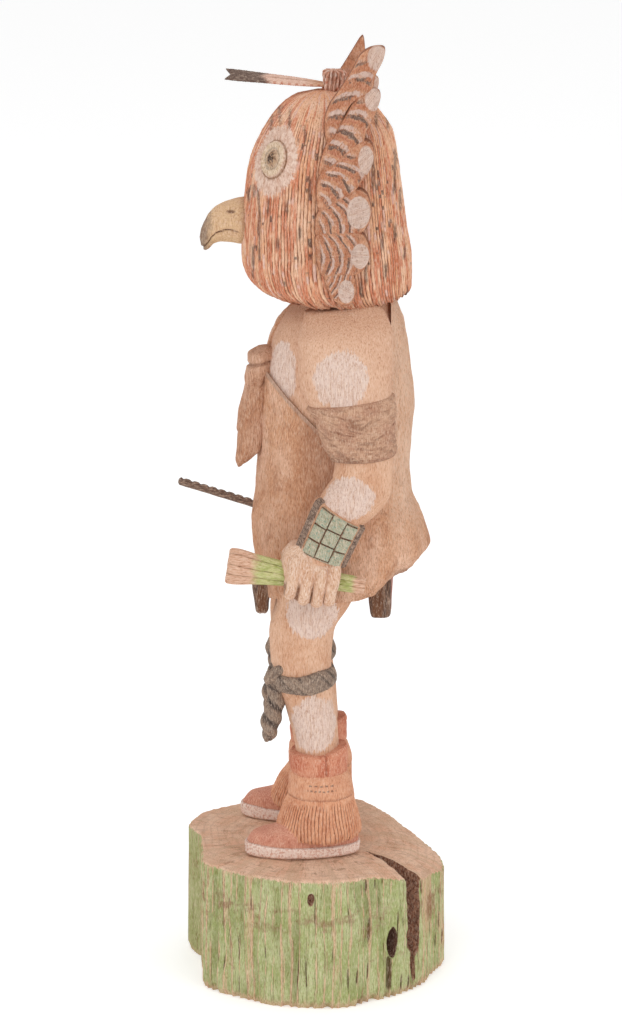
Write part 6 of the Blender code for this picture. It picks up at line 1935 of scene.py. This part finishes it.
def base_finish():
    """Green wash in gouges with bare ridges between, end grain on top, brown in the crack."""
    finish = Finish("root_wash", 0.9)
    cut, ridge, deep = finish.mark("cut"), finish.mark("ridge"), finish.mark("deep")
    top, tone, wall = finish.mark("top"), finish.mark("tone"), finish.mark("wall")
    x, y, z = finish.axis("X"), finish.axis("Y"), finish.axis("Z")
    streak = finish.noise((0.75, 0.75, 14.0), 4.0, 0.62)
    thread = finish.noise((0.34, 0.34, 7.0), 3.0, 0.65, shift=11.0)
    fine = finish.noise((0.4, 0.4, 1.6), 3.0, 0.62, shift=3.0)
    drift = finish.noise((7.0, 7.0, 11.0), 3.0, shift=7.0)
    green = finish.mix(drift.ramp(0.35, 0.66), paint(172, 182, 118), paint(194, 200, 146))
    green = finish.mix(fine.ramp(0.5, 0.7) * 0.5, green, paint(220, 222, 182))
    green = finish.mix(thread.ramp(0.48, 0.34) * 0.6, green, paint(120, 124, 70))
    bare = finish.mix(fine.ramp(0.35, 0.7), paint(236, 200, 168), paint(212, 168, 134))
    crest = (ridge + (thread - 0.5) * 2.6 + (streak - 0.5) * 3.0 + (tone - 0.5) * 0.9).ramp(0.62, 1.05)
    side = finish.mix(crest * 0.8, green, bare)
    worn_lane = (tone + (streak - 0.5) * 1.6).ramp(0.86, 1.02) * deep.ramp(0.5, 0.2)
    side = finish.mix(worn_lane * 0.6, side, bare)
    side = finish.mix(deep.ramp(0.45, 1.0) * 0.3, side, paint(118, 122, 66))
    # painted shadow: a thin dark brown line beside each ridge
    beside = (ridge + (thread - 0.5) * 1.0).ramp(0.30, 0.62) * (ridge + (thread - 0.5) * 1.0).ramp(0.92, 0.7)
    side = finish.mix(beside * streak.ramp(0.45, 0.58) * 0.65, side, paint(120, 92, 58))
    # painted shadow: dark brown lines in the slits and the notch
    side = finish.mix(cut.ramp(0.2, 0.7) * 0.85, side, paint(92, 66, 44))
    patch = finish.noise((8.0, 8.0, 4.0), 3.0, 0.6, shift=29.0)
    band = abs(z + y * 0.05 - 31.5 - (drift - 0.5) * 16.0).ramp(6.5, 1.5)
    stain = band * (patch + (thread - 0.5) * 0.5).ramp(0.47, 0.62)
    stain = stain.math("MAXIMUM", stain, (patch + (thread - 0.5) * 0.4).ramp(0.64, 0.74) * 0.8)
    side = finish.mix(stain * 0.6, side, paint(152, 112, 86))
    foot = (z + (streak - 0.5) * 9.0).ramp(3.4, 0.2)
    side = finish.mix(foot * 0.6, side, paint(222, 178, 150))
    # painted shade: darker olive on the front lobe beyond the step
    lobe = y.ramp(-38.6, -41.0)
    side = finish.mix(lobe * 0.4, side, paint(160, 152, 98))
    radius = finish.vector("MULTIPLY", finish.place, (1.0, 1.0, 0.0))
    length = finish.node("ShaderNodeVectorMath", {"operation": "LENGTH"}, {0: radius}, output="Value")
    bearing = finish.node("ShaderNodeMath", {"operation": "ARCTAN2"}, {0: y, 1: x})
    polar = finish.node("ShaderNodeCombineXYZ", None, {0: bearing * 34.0, 1: length, 2: 0.0})
    fibre = finish.noise((0.6, 5.0, 1.0), 4.0, 0.62, at=polar)
    ring_sway = finish.noise((9.0, 9.0, 9.0), 2.0, shift=2.0)
    rings = finish.node("ShaderNodeMath", {"operation": "SINE"}, {0: length * 2.3 + ring_sway * 9.0})
    grain = finish.mix(drift.ramp(0.36, 0.64), paint(240, 192, 160), paint(250, 212, 184))
    grain = finish.mix(fibre.ramp(0.5, 0.68) * 0.55, grain, paint(200, 148, 112))
    grain = finish.mix(fibre.ramp(0.44, 0.28) * 0.6, grain, paint(236, 210, 190))
    grain = finish.mix(rings.ramp(0.4, 1.0) * 0.2, grain, paint(184, 136, 104))
    smudge = finish.noise((5.0, 7.0, 5.0), 4.0, 0.65, shift=19.0)
    round_feet = finish.near((16.0, -4.0, 46.0), (24.0, 34.0, 30.0)).ramp(1.25, 0.75)
    grain = finish.mix((smudge + (fibre - 0.5) * 0.3).ramp(0.52, 0.64) * (0.25 + round_feet * 0.4), grain, paint(166, 114, 84))
    at_rim = (top + (streak - 0.5) * 1.1 + (ridge * -0.12)).ramp(0.30, 0.62)
    at_rim = at_rim.math("MAXIMUM", at_rim, finish.mark("level"))
    colour = finish.mix(at_rim, side, grain)
    edge = finish.mark("below").ramp(3.2, 0.6) * (thread + (tone - 0.5) * 0.3).ramp(0.5, 0.62)
    colour = finish.mix(edge * 0.7, colour, paint(222, 184, 152))
    split = finish.near((22.6, 39.6, 38.0), (7.0, 2.6, 22.0)) + (streak - 0.5) * 1.4
    colour = finish.mix(split.ramp(1.15, 0.8) * 0.6, colour, paint(214, 172, 140))
    bruise = finish.near((20.0, 42.5, 27.0), (6.0, 6.0, 7.5)) + (fine - 0.5) * 0.8
    colour = finish.mix(bruise.ramp(1.0, 0.6) * 0.6, colour, paint(140, 86, 58))
    rough = finish.noise((0.9, 0.9, 1.3), 4.0, 0.68, shift=41.0)
    brown = finish.mix(rough.ramp(0.34, 0.66), paint(104, 66, 50), paint(178, 130, 104))
    # painted shade: near black inside the worm hole
    hole_shadow = finish.near((34.0, 25.4, 20.6), (9.0, 7.0, 8.0)).ramp(1.0, 0.8)
    brown = finish.mix(hole_shadow * 0.7, brown, paint(70, 42, 30))
    colour = finish.mix(wall.ramp(0.1, 0.7), colour, brown)
    return finish.wear(colour, streak * 0.6 + thread * 0.9 + fine * 0.5, 0.34)


def make_stage():
    """A plain pale floor, in soft even light."""
    white = bpy.data.materials.new("studio_floor")
    white.use_nodes = True
    shader = white.node_tree.nodes["Principled BSDF"]
    shader.inputs["Base Color"].default_value = (0.93, 0.93, 0.93, 1.0)
    shader.inputs["Roughness"].default_value = 0.95
    shader.inputs["Specular IOR Level"].default_value = 0.1
    shader.inputs["Emission Color"].default_value = (1.0, 1.0, 1.0, 1.0)
    shader.inputs["Emission Strength"].default_value = 0.28
    size = 12.0
    mesh = bpy.data.meshes.new("floor")
    corners = [(-size, -size, 0.0), (size, -size, 0.0), (size, size, 0.0), (-size, size, 0.0)]
    mesh.from_pydata([(x, y, BASE_LOW.z + z) for x, y, z in corners], [], [(0, 1, 2, 3)])
    floor = bpy.data.objects.new("floor", mesh)
    floor.data.materials.append(white)
    bpy.context.scene.collection.objects.link(floor)


def make_lights():
    world = bpy.data.worlds.new("studio")
    bpy.context.scene.world = world
    world.use_nodes = True
    background = world.node_tree.nodes["Background"]
    background.inputs["Color"].default_value = (1.0, 1.0, 1.0, 1.0)
    background.inputs["Strength"].default_value = 0.72
    lamps = (
        ("key", (1.3, -0.6, 1.3), 1.1, 5.5),
        ("fill", (1.2, 1.3, 0.9), 1.3, 4.5),
        ("top", (0.1, 0.0, 1.7), 1.4, 4.0),
    )
    aim = Vector((0.0, 0.0, 0.17))
    for name, place, size, power in lamps:
        light = bpy.data.lights.new(name, "AREA")
        light.shape = "DISK"
        light.size = size
        light.energy = power
        lamp = bpy.data.objects.new(name, light)
        lamp.location = place
        lamp.rotation_euler = (aim - Vector(place)).to_track_quat("-Z", "Y").to_euler()
        bpy.context.scene.collection.objects.link(lamp)


def make_camera():
    data = bpy.data.cameras.new("camera")
    data.lens = CAMERA_LENS
    data.sensor_width = CAMERA_SENSOR
    data.clip_end = 30.0
    camera = bpy.data.objects.new("camera", data)
    bpy.context.scene.collection.objects.link(camera)
    look = Vector((-math.cos(CAMERA_DOWN), 0.0, -math.sin(CAMERA_DOWN)))
    camera.location = CAMERA_PLACE
    camera.rotation_euler = look.to_track_quat("-Z", "Y").to_euler()
    bpy.context.scene.camera = camera


def make_doll():
    make_head()
    make_beak()
    fan_paint = fan_finish()
    for name, side in SIDES:
        feathers = list(FAN_FEATHERS)
        if side < 0:
            feathers[0] = FAR_TOP_FEATHER
        for index, feather in enumerate(feathers):
            fan_feather(index, feather, side, fan_paint)
    make_crown_tie()
    make_forehead_feather()
    skin, hide = skin_finish(), hide_finish()
    make_torso(skin)
    make_robe(hide)
    make_knot(hide_finish("knot_wash", 0.35))
    make_tails()
    make_armband()
    make_sleeve(hide)
    guard, hand, tie = guard_finish(), hand_finish(), tie_finish()
    fringe, red = fringe_finish(), red_finish()
    for name, side in SIDES:
        make_arm(name, side, skin)
        make_wristguard(name, side, guard)
        make_hand(name, side, hand)
        make_leg(name, side, skin)
        make_knee_tie(name, side, tie)
        make_cuff(name, side, red)
        make_ankle_fringe(name, side, fringe)
        make_moccasin(name, side, red)
    make_bundle()
    make_stick()
    make_base()


make_doll()
make_stage()
make_lights()
make_camera()
bpy.context.scene.view_settings.view_transform = "Standard"
